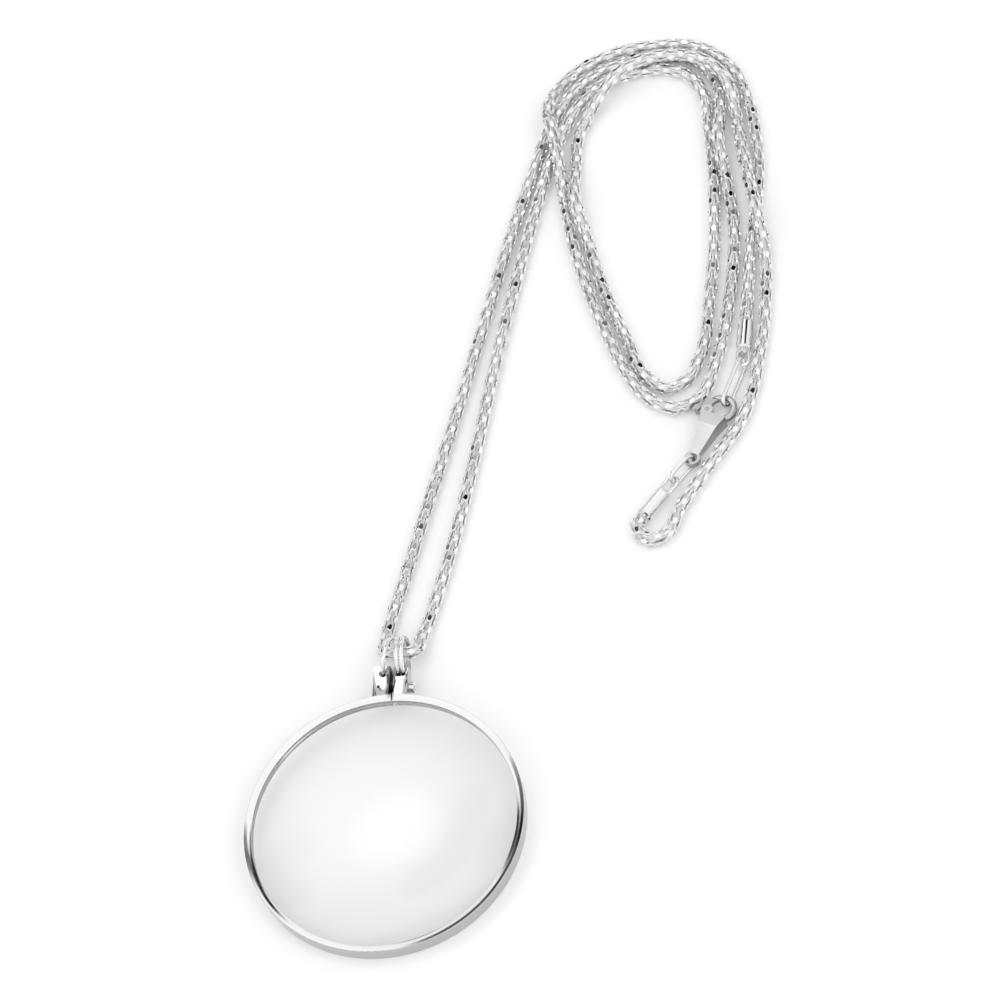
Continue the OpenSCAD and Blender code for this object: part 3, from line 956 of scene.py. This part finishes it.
@dataclass
class WeaveParts:
    """The two shapes that the woven chain repeats: a petal, and the wires beside it.

    The chain's axis is Z and the petal faces +X. Each ring has four petals, and the next
    ring is turned by an eighth.

    Attributes:
        pitch: Distance between rings.
        petal_length: Length of a petal, along the chain.
        petal_width: Width of a petal.
        petal_r: Distance of a petal's flat face from the axis.
        petal_drop: How far a petal's rim lies below its flat face.
        wire_d: Diameter of the wires.
        wire_low: Distance of the wires' middle from the axis, under the petals.
        wire_high: The same, halfway to the next ring.
        wire_apart: Distance between the two wires of a pair.

    MARK is the attribute that says what a face belongs to: PETAL_MARK, WIRE_MARK or, for the
    plain inside, 0. PETAL_RINGS gives the size of a petal's rings of points, from the flat
    face to the underside, and their depth as a share of the drop.
    """

    MARK = "part_of_weave"
    PETAL_MARK = 1.0
    WIRE_MARK = 0.5
    PETAL_RINGS = ((0.76, 0.0), (1.0, 1.0), (0.9, 2.6))
    PETAL_SIDES = 10
    WIRE_SIDES = 5
    WIRE_STEPS = 2

    pitch: float
    petal_length: float = 1.5 * MM
    petal_width: float = 0.95 * MM
    petal_r: float = 1.13 * MM
    petal_drop: float = 0.13 * MM
    wire_d: float = 0.2 * MM
    wire_low: float = 0.9 * MM
    wire_high: float = 1.02 * MM
    wire_apart: float = 0.25 * MM

    def _linked(self, name: str, form: bmesh.types.BMesh) -> bpy.types.Object:
        """Turns a finished form into an object of the scene.

        Args:
            name: The object's name.
            form: The mesh under construction, which is freed.

        Returns:
            The new object.
        """
        mesh = bpy.data.meshes.new(name)
        form.to_mesh(mesh)
        form.free()
        return linked(name, mesh)

    def petal(self) -> bpy.types.Object:
        """Builds a petal: a flat oval with a sloping rim.

        Returns:
            An object to repeat four times round each ring.
        """
        sides = self.PETAL_SIDES
        form = bmesh.new()
        mark = form.faces.layers.float.new(self.MARK)
        loops = []
        for share, drops in self.PETAL_RINGS:
            loop = []
            for k in range(sides):
                angle = math.tau * k / sides
                across = math.cos(angle) * self.petal_width / 2 * share
                along = math.sin(angle) * self.petal_length / 2 * share
                out = self.petal_r - drops * self.petal_drop
                loop.append(form.verts.new((out, across, along)))
            loops.append(loop)
        form.faces.new(loops[0])
        for upper, lower in zip(loops, loops[1:]):
            for k in range(sides):
                after = (k + 1) % sides
                form.faces.new((upper[k], lower[k], lower[after], upper[after]))
        for face in form.faces:
            face[mark] = self.PETAL_MARK
        return self._linked("weave_petal", form)

    def _slant(self, turn: float, shift: float) -> list[Vector]:
        """Gives the middle line of a wire from this ring to the next.

        Args:
            turn: Angle round the axis that it covers.
            shift: Distance to the side, round the axis.

        Returns:
            Its points.
        """
        path = []
        for step in range(self.WIRE_STEPS + 1):
            share = step / self.WIRE_STEPS
            r = self.wire_low + (self.wire_high - self.wire_low) * math.sin(math.pi * share)
            angle = turn * share + shift / self.wire_low
            path.append(Vector((r * math.cos(angle), r * math.sin(angle), self.pitch * share)))
        return path

    def _wire(self, form: bmesh.types.BMesh, path: list[Vector]) -> None:
        """Adds a thin wire along a path round the axis.

        Args:
            form: The mesh under construction.
            path: The wire's middle line.
        """
        sides = self.WIRE_SIDES
        last = len(path) - 1
        loops = []
        for i, spot in enumerate(path):
            ahead = (path[min(i + 1, last)] - path[max(i - 1, 0)]).normalized()
            out = Vector((spot.x, spot.y, 0.0)).normalized()
            beside = ahead.cross(out)
            loops.append([
                form.verts.new(spot + (out * math.cos(a) + beside * math.sin(a)) * self.wire_d / 2)
                for a in (math.tau * k / sides for k in range(sides))
            ])
        for low, high in zip(loops, loops[1:]):
            for k in range(sides):
                after = (k + 1) % sides
                form.faces.new((low[k], low[after], high[after], high[k])).smooth = True

    def wires(self) -> bpy.types.Object:
        """Builds the two pairs of wires that lead to the next ring's petals.

        Returns:
            An object to repeat four times round each ring.
        """
        form = bmesh.new()
        mark = form.faces.layers.float.new(self.MARK)
        for eighth in (-math.pi / 4, math.pi / 4):
            for side in (-0.5, 0.5):
                self._wire(form, self._slant(eighth, side * self.wire_apart))
        for face in form.faces:
            face[mark] = self.WIRE_MARK
        return self._linked("weave_wires", form)


class WeaveTree:
    """The Geometry Nodes tree that weaves a chain along a curve.

    TURN is the name of the attribute that holds each ring's rotation. DRIFT_STEP is how far
    the slow drift's noise moves on from ring to ring, and DRIFT_RINGS the number of rings over
    which the drift sets in.
    """

    NAME = "woven_chain"
    TURN = "ring_rotation"
    QUARTERS = 4
    DRIFT_STEP = 0.05
    DRIFT_RINGS = 20.0
    CORE_SIDES = 8
    INPUTS = (
        ("Ring Pitch", "NodeSocketFloat", 2.05 * MM),
        ("Core Radius", "NodeSocketFloat", 0.8 * MM),
        ("First Turn", "NodeSocketFloat", 0.0),
        ("Drift", "NodeSocketFloat", 0.5),
        ("Petal Tilt", "NodeSocketFloat", 0.05),
        ("Seed", "NodeSocketInt", 7),
        ("Petal", "NodeSocketObject", None),
        ("Wires", "NodeSocketObject", None),
        ("Finish", "NodeSocketMaterial", None),
    )

    @classmethod
    def tree(cls) -> bpy.types.NodeTree:
        """Gives the tree, made on first use.

        Returns:
            The tree.
        """
        found = bpy.data.node_groups.get(cls.NAME)
        return found if found else cls._build()

    @classmethod
    def _build(cls) -> bpy.types.NodeTree:
        """Builds the tree: rings of petals and wires along the curve, and a core inside.

        Returns:
            The new tree.
        """
        tree = bpy.data.node_groups.new(cls.NAME, "GeometryNodeTree")
        tree.interface.new_socket("Geometry", in_out="INPUT", socket_type="NodeSocketGeometry")
        for name, kind, value in cls.INPUTS:
            socket = tree.interface.new_socket(name, in_out="INPUT", socket_type=kind)
            if value is not None:
                socket.default_value = value
        tree.interface.new_socket("Geometry", in_out="OUTPUT", socket_type="NodeSocketGeometry")
        given = add_node(tree, "NodeGroupInput", (-1600, 0)).outputs
        upright = add_node(tree, "GeometryNodeSetCurveNormal", (-1400, 200))
        upright.mode = "Z_UP"
        join(tree, given["Geometry"], upright.inputs["Curve"])
        curve = upright.outputs["Curve"]
        spots, rotation = cls._quarters(tree, given, curve)

        both = add_node(tree, "GeometryNodeJoinGeometry", (500, 0))
        for part in (cls._repeated(tree, given["Wires"], spots, rotation),
                     cls._repeated(tree, given["Petal"], spots, cls._tilted(tree, given, rotation)),
                     cls._core(tree, given, curve)):
            join(tree, part, both.inputs["Geometry"])
        real = add_node(tree, "GeometryNodeRealizeInstances", (700, 0))
        join(tree, both.outputs["Geometry"], real.inputs["Geometry"])
        clean = add_node(tree, "GeometryNodeRemoveAttribute", (900, 0))
        clean.inputs["Name"].default_value = cls.TURN
        join(tree, real.outputs["Geometry"], clean.inputs["Geometry"])
        dressed = add_node(tree, "GeometryNodeSetMaterial", (1100, 0))
        join(tree, clean.outputs["Geometry"], dressed.inputs["Geometry"])
        join(tree, given["Finish"], dressed.inputs["Material"])
        result = add_node(tree, "NodeGroupOutput", (1300, 0))
        join(tree, dressed.outputs["Geometry"], result.inputs["Geometry"])
        return tree

    @classmethod
    def _turn(cls, tree: bpy.types.NodeTree, given: Sockets) -> Socket:
        """Works out a ring's turn: every other ring by an eighth, with a slow drift.

        Args:
            tree: The tree.
            given: The tree's input sockets.

        Returns:
            The angle's socket.
        """
        ring = add_node(tree, "GeometryNodeInputIndex", (-1200, -200)).outputs[0]
        eighth = math_node(tree, "MULTIPLY", math_node(tree, "MODULO", ring, 2.0), math.pi / 4)
        drift = add_node(tree, "ShaderNodeTexNoise", (-1000, -300), noise_dimensions="1D",
                         Scale=1.0, Detail=1.0)
        along = math_node(tree, "MULTIPLY_ADD", ring, cls.DRIFT_STEP, given["Seed"])
        join(tree, along, drift.inputs["W"])
        swing = math_node(tree, "MULTIPLY", math_node(tree, "SUBTRACT", drift.outputs[0], 0.5),
                          given["Drift"])
        eased = math_node(tree, "MULTIPLY", swing,
                          math_node(tree, "DIVIDE", ring, cls.DRIFT_RINGS, clamp=True))
        return math_node(tree, "ADD", math_node(tree, "ADD", eighth, eased), given["First Turn"])

    @classmethod
    def _about_axis(cls, tree: bpy.types.NodeTree, rotation: Socket, angle: Socket) -> Socket:
        """Turns a rotation about its own Z axis.

        Args:
            tree: The tree.
            rotation: The rotation.
            angle: The angle.

        Returns:
            The new rotation's socket.
        """
        about = add_node(tree, "FunctionNodeAxisAngleToRotation", (-700, -200))
        about.inputs["Axis"].default_value = (0.0, 0.0, 1.0)
        join(tree, angle, about.inputs["Angle"])
        turned = add_node(tree, "FunctionNodeRotateRotation", (-500, 0), rotation_space="LOCAL")
        join(tree, rotation, turned.inputs["Rotation"])
        join(tree, about.outputs["Rotation"], turned.inputs["Rotate By"])
        return turned.outputs["Rotation"]

    @classmethod
    def _quarters(cls, tree: bpy.types.NodeTree, given: Sockets,
                  curve: Socket) -> tuple[Socket, Socket]:
        """Puts four points on every ring, for the four quarters round the axis.

        Args:
            tree: The tree.
            given: The tree's input sockets.
            curve: The chain's curve.

        Returns:
            The points' socket and the socket of each point's rotation.
        """
        points = add_node(tree, "GeometryNodeCurveToPoints", (-1200, 200), mode="LENGTH")
        join(tree, curve, points.inputs["Curve"])
        join(tree, given["Ring Pitch"], points.inputs["Length"])
        kept = add_node(tree, "GeometryNodeStoreNamedAttribute", (-300, 200),
                        data_type="QUATERNION", domain="POINT")
        kept.inputs["Name"].default_value = cls.TURN
        join(tree, points.outputs["Points"], kept.inputs["Geometry"])
        join(tree, cls._about_axis(tree, points.outputs["Rotation"], cls._turn(tree, given)),
             kept.inputs["Value"])
        copies = add_node(tree, "GeometryNodeDuplicateElements", (-100, 200), domain="POINT")
        copies.inputs["Amount"].default_value = cls.QUARTERS
        join(tree, kept.outputs["Geometry"], copies.inputs["Geometry"])
        read = add_node(tree, "GeometryNodeInputNamedAttribute", (-300, -300),
                        data_type="QUATERNION")
        read.inputs["Name"].default_value = cls.TURN
        turn = math_node(tree, "MULTIPLY", cls._quarter_number(tree), math.tau / cls.QUARTERS)
        return copies.outputs["Geometry"], cls._about_axis(tree, read.outputs["Attribute"], turn)

    @classmethod
    def _quarter_number(cls, tree: bpy.types.NodeTree) -> Socket:
        """Gives a point's number round its ring, from the order of the copies."""
        order = add_node(tree, "GeometryNodeInputIndex", (-500, -400)).outputs[0]
        return math_node(tree, "MODULO", order, float(cls.QUARTERS))

    @classmethod
    def _tilted(cls, tree: bpy.types.NodeTree, given: Sockets,
                rotation: Socket) -> Socket:
        """Tilts each petal a little out of its place, as in hand-made weave.

        Args:
            tree: The tree.
            given: The tree's input sockets.
            rotation: The petals' rotation.

        Returns:
            The new rotation's socket.
        """
        spread = add_node(tree, "FunctionNodeRandomValue", (-300, -600), data_type="FLOAT_VECTOR")
        for name, sign in (("Min", -1.0), ("Max", 1.0)):
            bound = add_node(tree, "ShaderNodeCombineXYZ", (-500, -600))
            tilt = math_node(tree, "MULTIPLY", given["Petal Tilt"], sign)
            join(tree, tilt, bound.inputs["Y"])
            join(tree, tilt, bound.inputs["Z"])
            join(tree, bound.outputs["Vector"], spread.inputs[name])
        join(tree, given["Seed"], spread.inputs["Seed"])
        tilted = add_node(tree, "FunctionNodeRotateRotation", (0, -500), rotation_space="LOCAL")
        join(tree, rotation, tilted.inputs["Rotation"])
        join(tree, spread.outputs["Value"], tilted.inputs["Rotate By"])
        return tilted.outputs["Rotation"]

    @classmethod
    def _repeated(cls, tree: bpy.types.NodeTree, part: Socket, points: Socket,
                  rotation: Socket) -> Socket:
        """Puts an object on each point.

        Args:
            tree: The tree.
            part: The object's socket.
            points: The points.
            rotation: The rotation on each point.

        Returns:
            The instances' socket.
        """
        shape = add_node(tree, "GeometryNodeObjectInfo", (-100, 400))
        join(tree, part, shape.inputs["Object"])
        copies = add_node(tree, "GeometryNodeInstanceOnPoints", (200, 200))
        join(tree, points, copies.inputs["Points"])
        join(tree, shape.outputs["Geometry"], copies.inputs["Instance"])
        join(tree, rotation, copies.inputs["Rotation"])
        return copies.outputs["Instances"]

    @classmethod
    def _core(cls, tree: bpy.types.NodeTree, given: Sockets,
              curve: Socket) -> Socket:
        """Makes the tube that shows between the wires.

        Args:
            tree: The tree.
            given: The tree's input sockets.
            curve: The chain's curve.

        Returns:
            The tube's socket.
        """
        profile = add_node(tree, "GeometryNodeCurvePrimitiveCircle", (-500, -1100), mode="RADIUS",
                           Resolution=cls.CORE_SIDES)
        join(tree, given["Core Radius"], profile.inputs["Radius"])
        spaced = add_node(tree, "GeometryNodeResampleCurve", (-700, -1100))
        spaced.mode = "LENGTH"
        join(tree, curve, spaced.inputs["Curve"])
        join(tree, given["Ring Pitch"], spaced.inputs["Length"])
        core = add_node(tree, "GeometryNodeCurveToMesh", (-300, -1100), Fill_Caps=True)
        join(tree, spaced.outputs["Curve"], core.inputs["Curve"])
        join(tree, profile.outputs["Curve"], core.inputs["Profile Curve"])
        return core.outputs["Mesh"]


LEFT_ROUTE = (
    (-19.4, -36, 3), (-20.9, -36, 3), (-21.75, -35.2, 2.6), (-22, -32.6, 1.7),
    (-21.5, -28.6, 1.15), (-19.7, -20.9, 1.15), (-12.1, 12.6, 1.15), (0, 64.9, 1.15),
    (2.8, 74.7, 1.15), (5.9, 81, 1.15), (10.4, 85.7, 1.15), (16, 88.1, 1.15),
    (23, 88.8, 1.15), (29.3, 86.9, 1.15), (33, 82.1, 1.15), (34.1, 75.3, 2),
    (34, 68.1, 2.9), (35.5, 58.4, 1.5), (36.8, 49.1, 1.15), (36.2, 33.6, 1.15),
    (33.9, 19.9, 1.15), (31.1, 12.7, 1.15), (27.6, 10.8, 1.15), (24.2, 11.9, 1.15),
    (21, 14.8, 1.15), (17.9, 19.9, 1.15), (14, 29.1, 1.15), (9.4, 42.3, 1.15),
    (6.3, 56.1, 1.15), (5.2, 63.6, 2.5), (4.3, 70.1, 3.7), (2.7, 77.3, 3.5),
    (3.7, 82.3, 1.8), (7.2, 86.8, 1.15), (13, 90.1, 1.15), (21.5, 91.5, 1.15),
    (29.6, 90.3, 1.15), (35.6, 85.2, 1.15), (39, 76.9, 1.15), (40.9, 65.1, 1.15),
    (39.6, 39.1, 1.15), (39.2, 28, 1.4), (38.9, 22.6, 1.4),
)
RIGHT_ROUTE = (
    (-19.3, -36, 3), (-17.2, -36, 3), (-16.25, -35.2, 2.6), (-15.85, -32.6, 1.7),
    (-14.75, -28.6, 1.15), (-12.9, -20.9, 1.15), (-2.9, 37.5, 1.15), (1.2, 58.6, 1.15),
    (4.8, 72.3, 1.15), (8, 79.3, 1.15), (12.1, 83.7, 1.15), (17.4, 85.7, 1.15),
    (23.2, 86, 1.15), (28, 84, 1.15), (30.9, 79.1, 1.15), (32, 71.1, 1.15),
    (32.7, 34.1, 1.15), (31, 21.1, 1.15), (28.9, 16.6, 1.15), (25.5, 15.1, 1.15),
    (22.4, 17.3, 1.15), (17.6, 27.4, 1.15), (13, 39.6, 1.15), (10.2, 49.6, 1.3),
    (8.2, 57.1, 3.1), (7.9, 64.6, 1.4), (8.3, 72.6, 1.15), (10.3, 77.3, 1.5),
    (12.9, 81.3, 2.9), (16.3, 84.9, 3.6), (21, 87, 3.5), (26, 87.1, 3.5),
    (31, 85.3, 3.6), (35.2, 80.7, 3.5), (36.9, 73.9, 1.6), (37.8, 67.6, 2.2),
    (39.2, 59.9, 3.7), (41, 50.6, 3.6), (42.3, 43.6, 2.1), (42.6, 34.1, 1.15),
    (41.7, 21.6, 1.15), (38.9, 8.1, 1.15), (31.5, -4.1, 1.15), (28, -10.3, 1.15),
    (26.3, -14.4, 1.15), (23.5, -15.9, 1.15), (21.4, -14.6, 1.15), (20.9, -12.6, 1.3),
    (22, -11, 1.4), (24.8, -7.2, 1.4),
)


@dataclass
class ChainPath:
    """A smooth path through a route's points.

    Attributes:
        route: The points, in millimetres, as the part's source has them.
        lowest: The lowest height of the path, in metres.
    """

    route: Route
    lowest: float = 1.15 * MM

    def _headings(self, points: list[Vector]) -> list[Vector]:
        """Gives the path's speed at each point, per metre of run.

        Args:
            points: The route's points.

        Returns:
            One vector for each point.
        """
        runs = [(b - a).length for a, b in zip(points, points[1:])]
        slopes = [(b - a) / run for a, b, run in zip(points, points[1:], runs)]
        inner = [
            (slopes[i] * runs[i + 1] + slopes[i + 1] * runs[i]) / (runs[i] + runs[i + 1])
            for i in range(len(slopes) - 1)
        ]
        return [slopes[0], *inner, slopes[-1]]

    def smooth(self, step: float = 0.5 * MM) -> list[Vector]:
        """Gives close points along the smooth path.

        Args:
            step: The largest distance between points.

        Returns:
            The points, in metres.
        """
        points = [Vector(p) * MM for p in self.route]
        headings = self._headings(points)
        path = []
        for i, (a, b) in enumerate(zip(points, points[1:])):
            run = (b - a).length
            count = max(2, math.ceil(run / step))
            for k in range(count):
                t = k / count
                spot = (a * (2 * t ** 3 - 3 * t ** 2 + 1) + b * (3 * t ** 2 - 2 * t ** 3)
                        + headings[i] * run * (t ** 3 - 2 * t ** 2 + t)
                        + headings[i + 1] * run * (t ** 3 - t ** 2))
                path.append(Vector((spot.x, spot.y, max(spot.z, self.lowest))))
        path.append(points[-1])
        return path


@dataclass
class WovenChain:
    """The woven chain, in the two lengths that meet inside the bail rings.

    Attributes:
        pitch: Distance between the weave's rings.
        core_r: Radius of the plain inside.
        first_turn: Turn of the first ring, from upright.
        drift: How far the weave slowly turns to and fro, in radians.
        tilt: The most that a petal is turned out of its place, in radians.
        seeds: Seeds of the left and of the right length.
    """

    pitch: float = 2.05 * MM
    core_r: float = 0.8 * MM
    first_turn: float = math.radians(22.5)
    drift: float = 1.2
    tilt: float = 0.06
    seeds: tuple[int, int] = (3, 11)

    def _strand(self, name: str, route: Route, parts: dict[str, bpy.types.Object],
                turn: float, seed: int) -> bpy.types.Object:
        """Weaves one length.

        Args:
            name: The piece's name.
            route: Its route, in millimetres.
            parts: The shapes to repeat, by the tree's input names.
            turn: Turn of its first ring.
            seed: Seed of the slow drift and of the petals' tilts.

        Returns:
            The woven piece as a plain mesh.
        """
        path = ChainPath(route).smooth()
        curve = bpy.data.curves.new(name, "CURVE")
        curve.dimensions = "3D"
        line = curve.splines.new("POLY")
        line.points.add(len(path) - 1)
        for point, spot in zip(line.points, path):
            point.co = (*spot, 1.0)
        strand = linked(name, curve)
        weave = strand.modifiers.new("weave", "NODES")
        weave.node_group = WeaveTree.tree()
        values = {"Ring Pitch": self.pitch, "Core Radius": self.core_r, "First Turn": turn,
                  "Drift": self.drift, "Petal Tilt": self.tilt, "Seed": seed,
                  "Finish": WOVEN.material(), **parts}
        for socket in weave.node_group.interface.items_tree:
            if socket.in_out == "INPUT" and socket.name in values:
                weave[socket.identifier] = values[socket.name]
        return settled(strand)

    def build(self) -> list[bpy.types.Object]:
        """Returns:
            The pieces.
        """
        shapes = WeaveParts(self.pitch)
        parts = {"Petal": shapes.petal(), "Wires": shapes.wires()}
        left = self._strand("chain_left_woven", LEFT_ROUTE, parts, self.first_turn,
                            self.seeds[0])
        right = self._strand("chain_right_woven", RIGHT_ROUTE, parts, -self.first_turn,
                             self.seeds[1])
        for part in parts.values():
            bpy.data.objects.remove(part)
        return [
            declare(left, Body.NECKLACE, Slot.CHAIN, "chain_left"),
            declare(right, Body.NECKLACE, Slot.CHAIN, "chain_right"),
        ]


@dataclass
class Clasp:
    """The end caps, the oval rings and the lobster clasp.

    Attributes:
        body_edge: Rounding of the clasp body's edges.
        lever_edge: Rounding of the lever's edges.
    """

    body_edge: float = 0.45 * MM
    lever_edge: float = 0.2 * MM

    def build(self) -> list[bpy.types.Object]:
        """Returns:
            The pieces.
        """
        made = []
        for node in ("end_cap_a", "end_cap_b", "jump_ring_a", "jump_ring_b"):
            piece = polished_copy(node, f"{node}_silver", POLISHED)
            made.append(declare(piece, Body.NECKLACE, Slot.POLISHED, node))
        body = polished_copy("clasp_body", "clasp_body_silver", SATIN_SHADED, bevel=self.body_edge)
        made.append(declare(body, Body.NECKLACE, Slot.POLISHED, "clasp_body"))
        pin = polished_copy("clasp_pin", "clasp_pin_silver", PIN_LEVER_SHADED)
        made.append(declare(pin, Body.NECKLACE, Slot.DARK, "clasp_pin"))
        lever = polished_copy("clasp_lever", "clasp_lever_silver", PIN_LEVER_SHADED, bevel=self.lever_edge)
        made.append(declare(lever, Body.LEVER, Slot.DARK, "clasp_lever"))
        return made


@dataclass(frozen=True)
class SkyPatch:
    """A soft-edged part of the surroundings, darker or brighter than the rest.

    Attributes:
        spots: Directions to its middle line, as degrees round from +X and degrees up.
        inner: Angle from a spot, in degrees, within which it is full.
        outer: Angle at which it ends.
        light: Light that it adds, or 0 for a dark patch.
        depth: How much of the light a dark patch takes away, from 0 to 1.
    """

    spots: tuple[tuple[float, float], ...]
    inner: float
    outer: float
    light: float = 0.0
    depth: float = 1.0

    def mask(self, tree: bpy.types.NodeTree, place: Socket) -> Socket:
        """Builds the nodes that say how much a direction lies in the patch.

        Args:
            tree: The surroundings' tree.
            place: The direction's socket.

        Returns:
            The share's socket, from 0 to 1.
        """
        nearest = None
        for around, upward in self.spots:
            turn, rise = math.radians(around), math.radians(upward)
            near = add_node(tree, "ShaderNodeVectorMath", operation="DOT_PRODUCT")
            near.inputs[1].default_value = (math.cos(rise) * math.cos(turn),
                                            math.cos(rise) * math.sin(turn), math.sin(rise))
            join(tree, place, near.inputs[0])
            value = near.outputs["Value"]
            nearest = math_node(tree, "MAXIMUM", nearest, value) if nearest else value
        return map_range(tree, nearest, math.cos(math.radians(self.outer)),
                         math.cos(math.radians(self.inner)), curve="SMOOTHSTEP")


@dataclass
class Studio:
    """The pale table, the soft light and the camera.

    Attributes:
        table_size: Width of the table.
        table_glow: Light from under the translucent table top.
        table_tones: The table top's two tones.
        sky_strength: Brightness of the surroundings.
        horizon: Brightness of the surroundings near the horizon.
        full_sky: Height, as a share of straight up, from which they are at full brightness.
        patches: Darker and brighter parts of the surroundings.
        lamp_place: Where the soft square lamp hangs.
        lamp_size: Its width.
        lamp_power: Its power, in watts.
        eye: The camera's place.
        right: The camera's own X axis.
        up: The camera's own Y axis.
        focal_mm: Focal length.
        sensor_mm: Width of the sensor.
    """

    table_size: float = 6.0
    table_glow: float = 0.12
    table_tones: tuple[Colour, Colour] = ((0.93, 0.93, 0.93, 1.0), (0.95, 0.95, 0.95, 1.0))
    sky_strength: float = 1.05
    horizon: float = 0.68
    full_sky: float = 0.7
    patches: tuple[SkyPatch, ...] = (
        SkyPatch(((136, 44), (130, 42), (124, 41), (120, 40.5)), 4.0, 7.0, depth=0.93),
        SkyPatch(((142, 47),), 4.0, 7.0, depth=0.85),
        SkyPatch(((149, 50),), 3.0, 6.0, depth=0.7),
        SkyPatch(((148, 26), (160, 20), (150, 16), (143, 32)), 5.0, 10.0, depth=0.93),
        SkyPatch(((104, 14), (112, 17)), 3.0, 7.0),
        SkyPatch(((48, 49), (55, 48), (62, 48), (70, 48), (77, 47)), 3.0, 8.0),
        SkyPatch(((75, 61), (71, 56), (66, 50), (61, 44), (57, 38), (53, 28)), 2.5, 6.0,
                 depth=0.85),
        SkyPatch(((121, 60),), 2.0, 13.5, light=1.5),
    )
    lamp_place: Place = (1.7, -1.0, 2.3)
    lamp_size: float = 0.8
    lamp_power: float = 4.0
    eye: Place = (0.151625, -0.45293, 0.664247)
    right: Place = (0.97842, 0.03796, -0.20312)
    up: Place = (0.0807, 0.83473, 0.54471)
    focal_mm: float = 170.46
    sensor_mm: float = 36.0

    def _table_material(self) -> bpy.types.Material:
        """Makes the table top's dull, faintly glowing material.

        Returns:
            The material.
        """
        material = bpy.data.materials.new("table_pale")
        material.use_nodes = True
        tree = material.node_tree
        shader = tree.nodes["Principled BSDF"]
        for name, value in (("Roughness", 0.9), ("Specular IOR Level", 0.1),
                            ("Emission Color", (1.0, 1.0, 1.0, 1.0)),
                            ("Emission Strength", self.table_glow)):
            shader.inputs[name].default_value = value
        mottle = add_node(tree, "ShaderNodeTexNoise", (-600, 0), Scale=6.0, Detail=2.0)
        join(tree, add_node(tree, "ShaderNodeTexCoord", (-900, 0)).outputs["Object"],
             mottle.inputs["Vector"])
        join(tree, mix_colour(tree, mottle.outputs["Fac"], *self.table_tones),
             shader.inputs["Base Color"])
        return material

    def _table(self) -> None:
        """Makes the pale table top."""
        half = self.table_size / 2
        mesh = bpy.data.meshes.new("table_top")
        mesh.from_pydata([(-half, -half, 0), (half, -half, 0), (half, half, 0), (-half, half, 0)],
                         [], [(0, 1, 2, 3)])
        mesh.materials.append(self._table_material())
        linked("table_top", mesh)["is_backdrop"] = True

    def _sky(self) -> None:
        """Makes the surroundings: bright, a little darker low down, with the patches."""
        world = bpy.data.worlds.new("studio_surroundings")
        world.use_nodes = True
        tree = world.node_tree
        back = tree.nodes["Background"]
        back.inputs["Strength"].default_value = self.sky_strength
        place = add_node(tree, "ShaderNodeTexCoord", (-900, 0)).outputs["Generated"]
        height = add_node(tree, "ShaderNodeSeparateXYZ", (-700, 0))
        join(tree, place, height.inputs["Vector"])
        light = map_range(tree, height.outputs["Z"], 0.0, self.full_sky, self.horizon, 1.0)
        for patch in self.patches:
            share = patch.mask(tree, place)
            if patch.light:
                light = math_node(tree, "MULTIPLY_ADD", share, patch.light, light)
            else:
                kept = math_node(tree, "MULTIPLY_ADD", share, -patch.depth, 1.0)
                light = math_node(tree, "MULTIPLY", light, kept)
        join(tree, light, back.inputs["Color"])
        bpy.context.scene.world = world

    def _lamp(self) -> None:
        """Makes the soft square lamp at the front right, which faces the object."""
        data = bpy.data.lights.new("front_softbox", "AREA")
        data.size = self.lamp_size
        data.energy = self.lamp_power
        lamp = linked("front_softbox", data)
        lamp.location = self.lamp_place
        lamp.rotation_euler = (-Vector(self.lamp_place)).to_track_quat("-Z", "Y").to_euler()

    def _camera(self) -> None:
        """Makes the camera at the photograph's place."""
        back = Vector(self.right).cross(Vector(self.up))
        turn = Matrix((self.right, self.up, back)).transposed().to_4x4()
        data = bpy.data.cameras.new("photo_camera")
        data.lens = self.focal_mm
        data.sensor_width = self.sensor_mm
        data.clip_start = 10 * MM
        camera = linked("photo_camera", data)
        camera.matrix_world = Matrix.Translation(self.eye) @ turn
        bpy.context.scene.camera = camera

    def build(self) -> None:
        """Builds the table, the light and the camera."""
        self._table()
        self._sky()
        self._lamp()
        self._camera()
        bpy.context.scene.view_settings.view_transform = "Standard"


def write_sizes() -> None:
    boxes = {"cad": [list(corner) for corner in CAD_BOX],
             "visual": [list(corner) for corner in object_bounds()]}
    for name, (low, high) in boxes.items():
        LOG.info("%s box, mm: %s", name, [round((b - a) / MM, 2) for a, b in zip(low, high)])


def main() -> None:
    """Builds the object, then the studio round it."""
    logging.basicConfig(level=logging.INFO, format="%(name)s: %(message)s")
    for assembly in (Magnifier(), Bail(), WovenChain(), Clasp()):
        pieces = assembly.build()
        LOG.info("%s: %s", type(assembly).__name__, ", ".join(p.name for p in pieces))
    Studio().build()
    write_sizes()


if __name__ == "__main__":
    main()
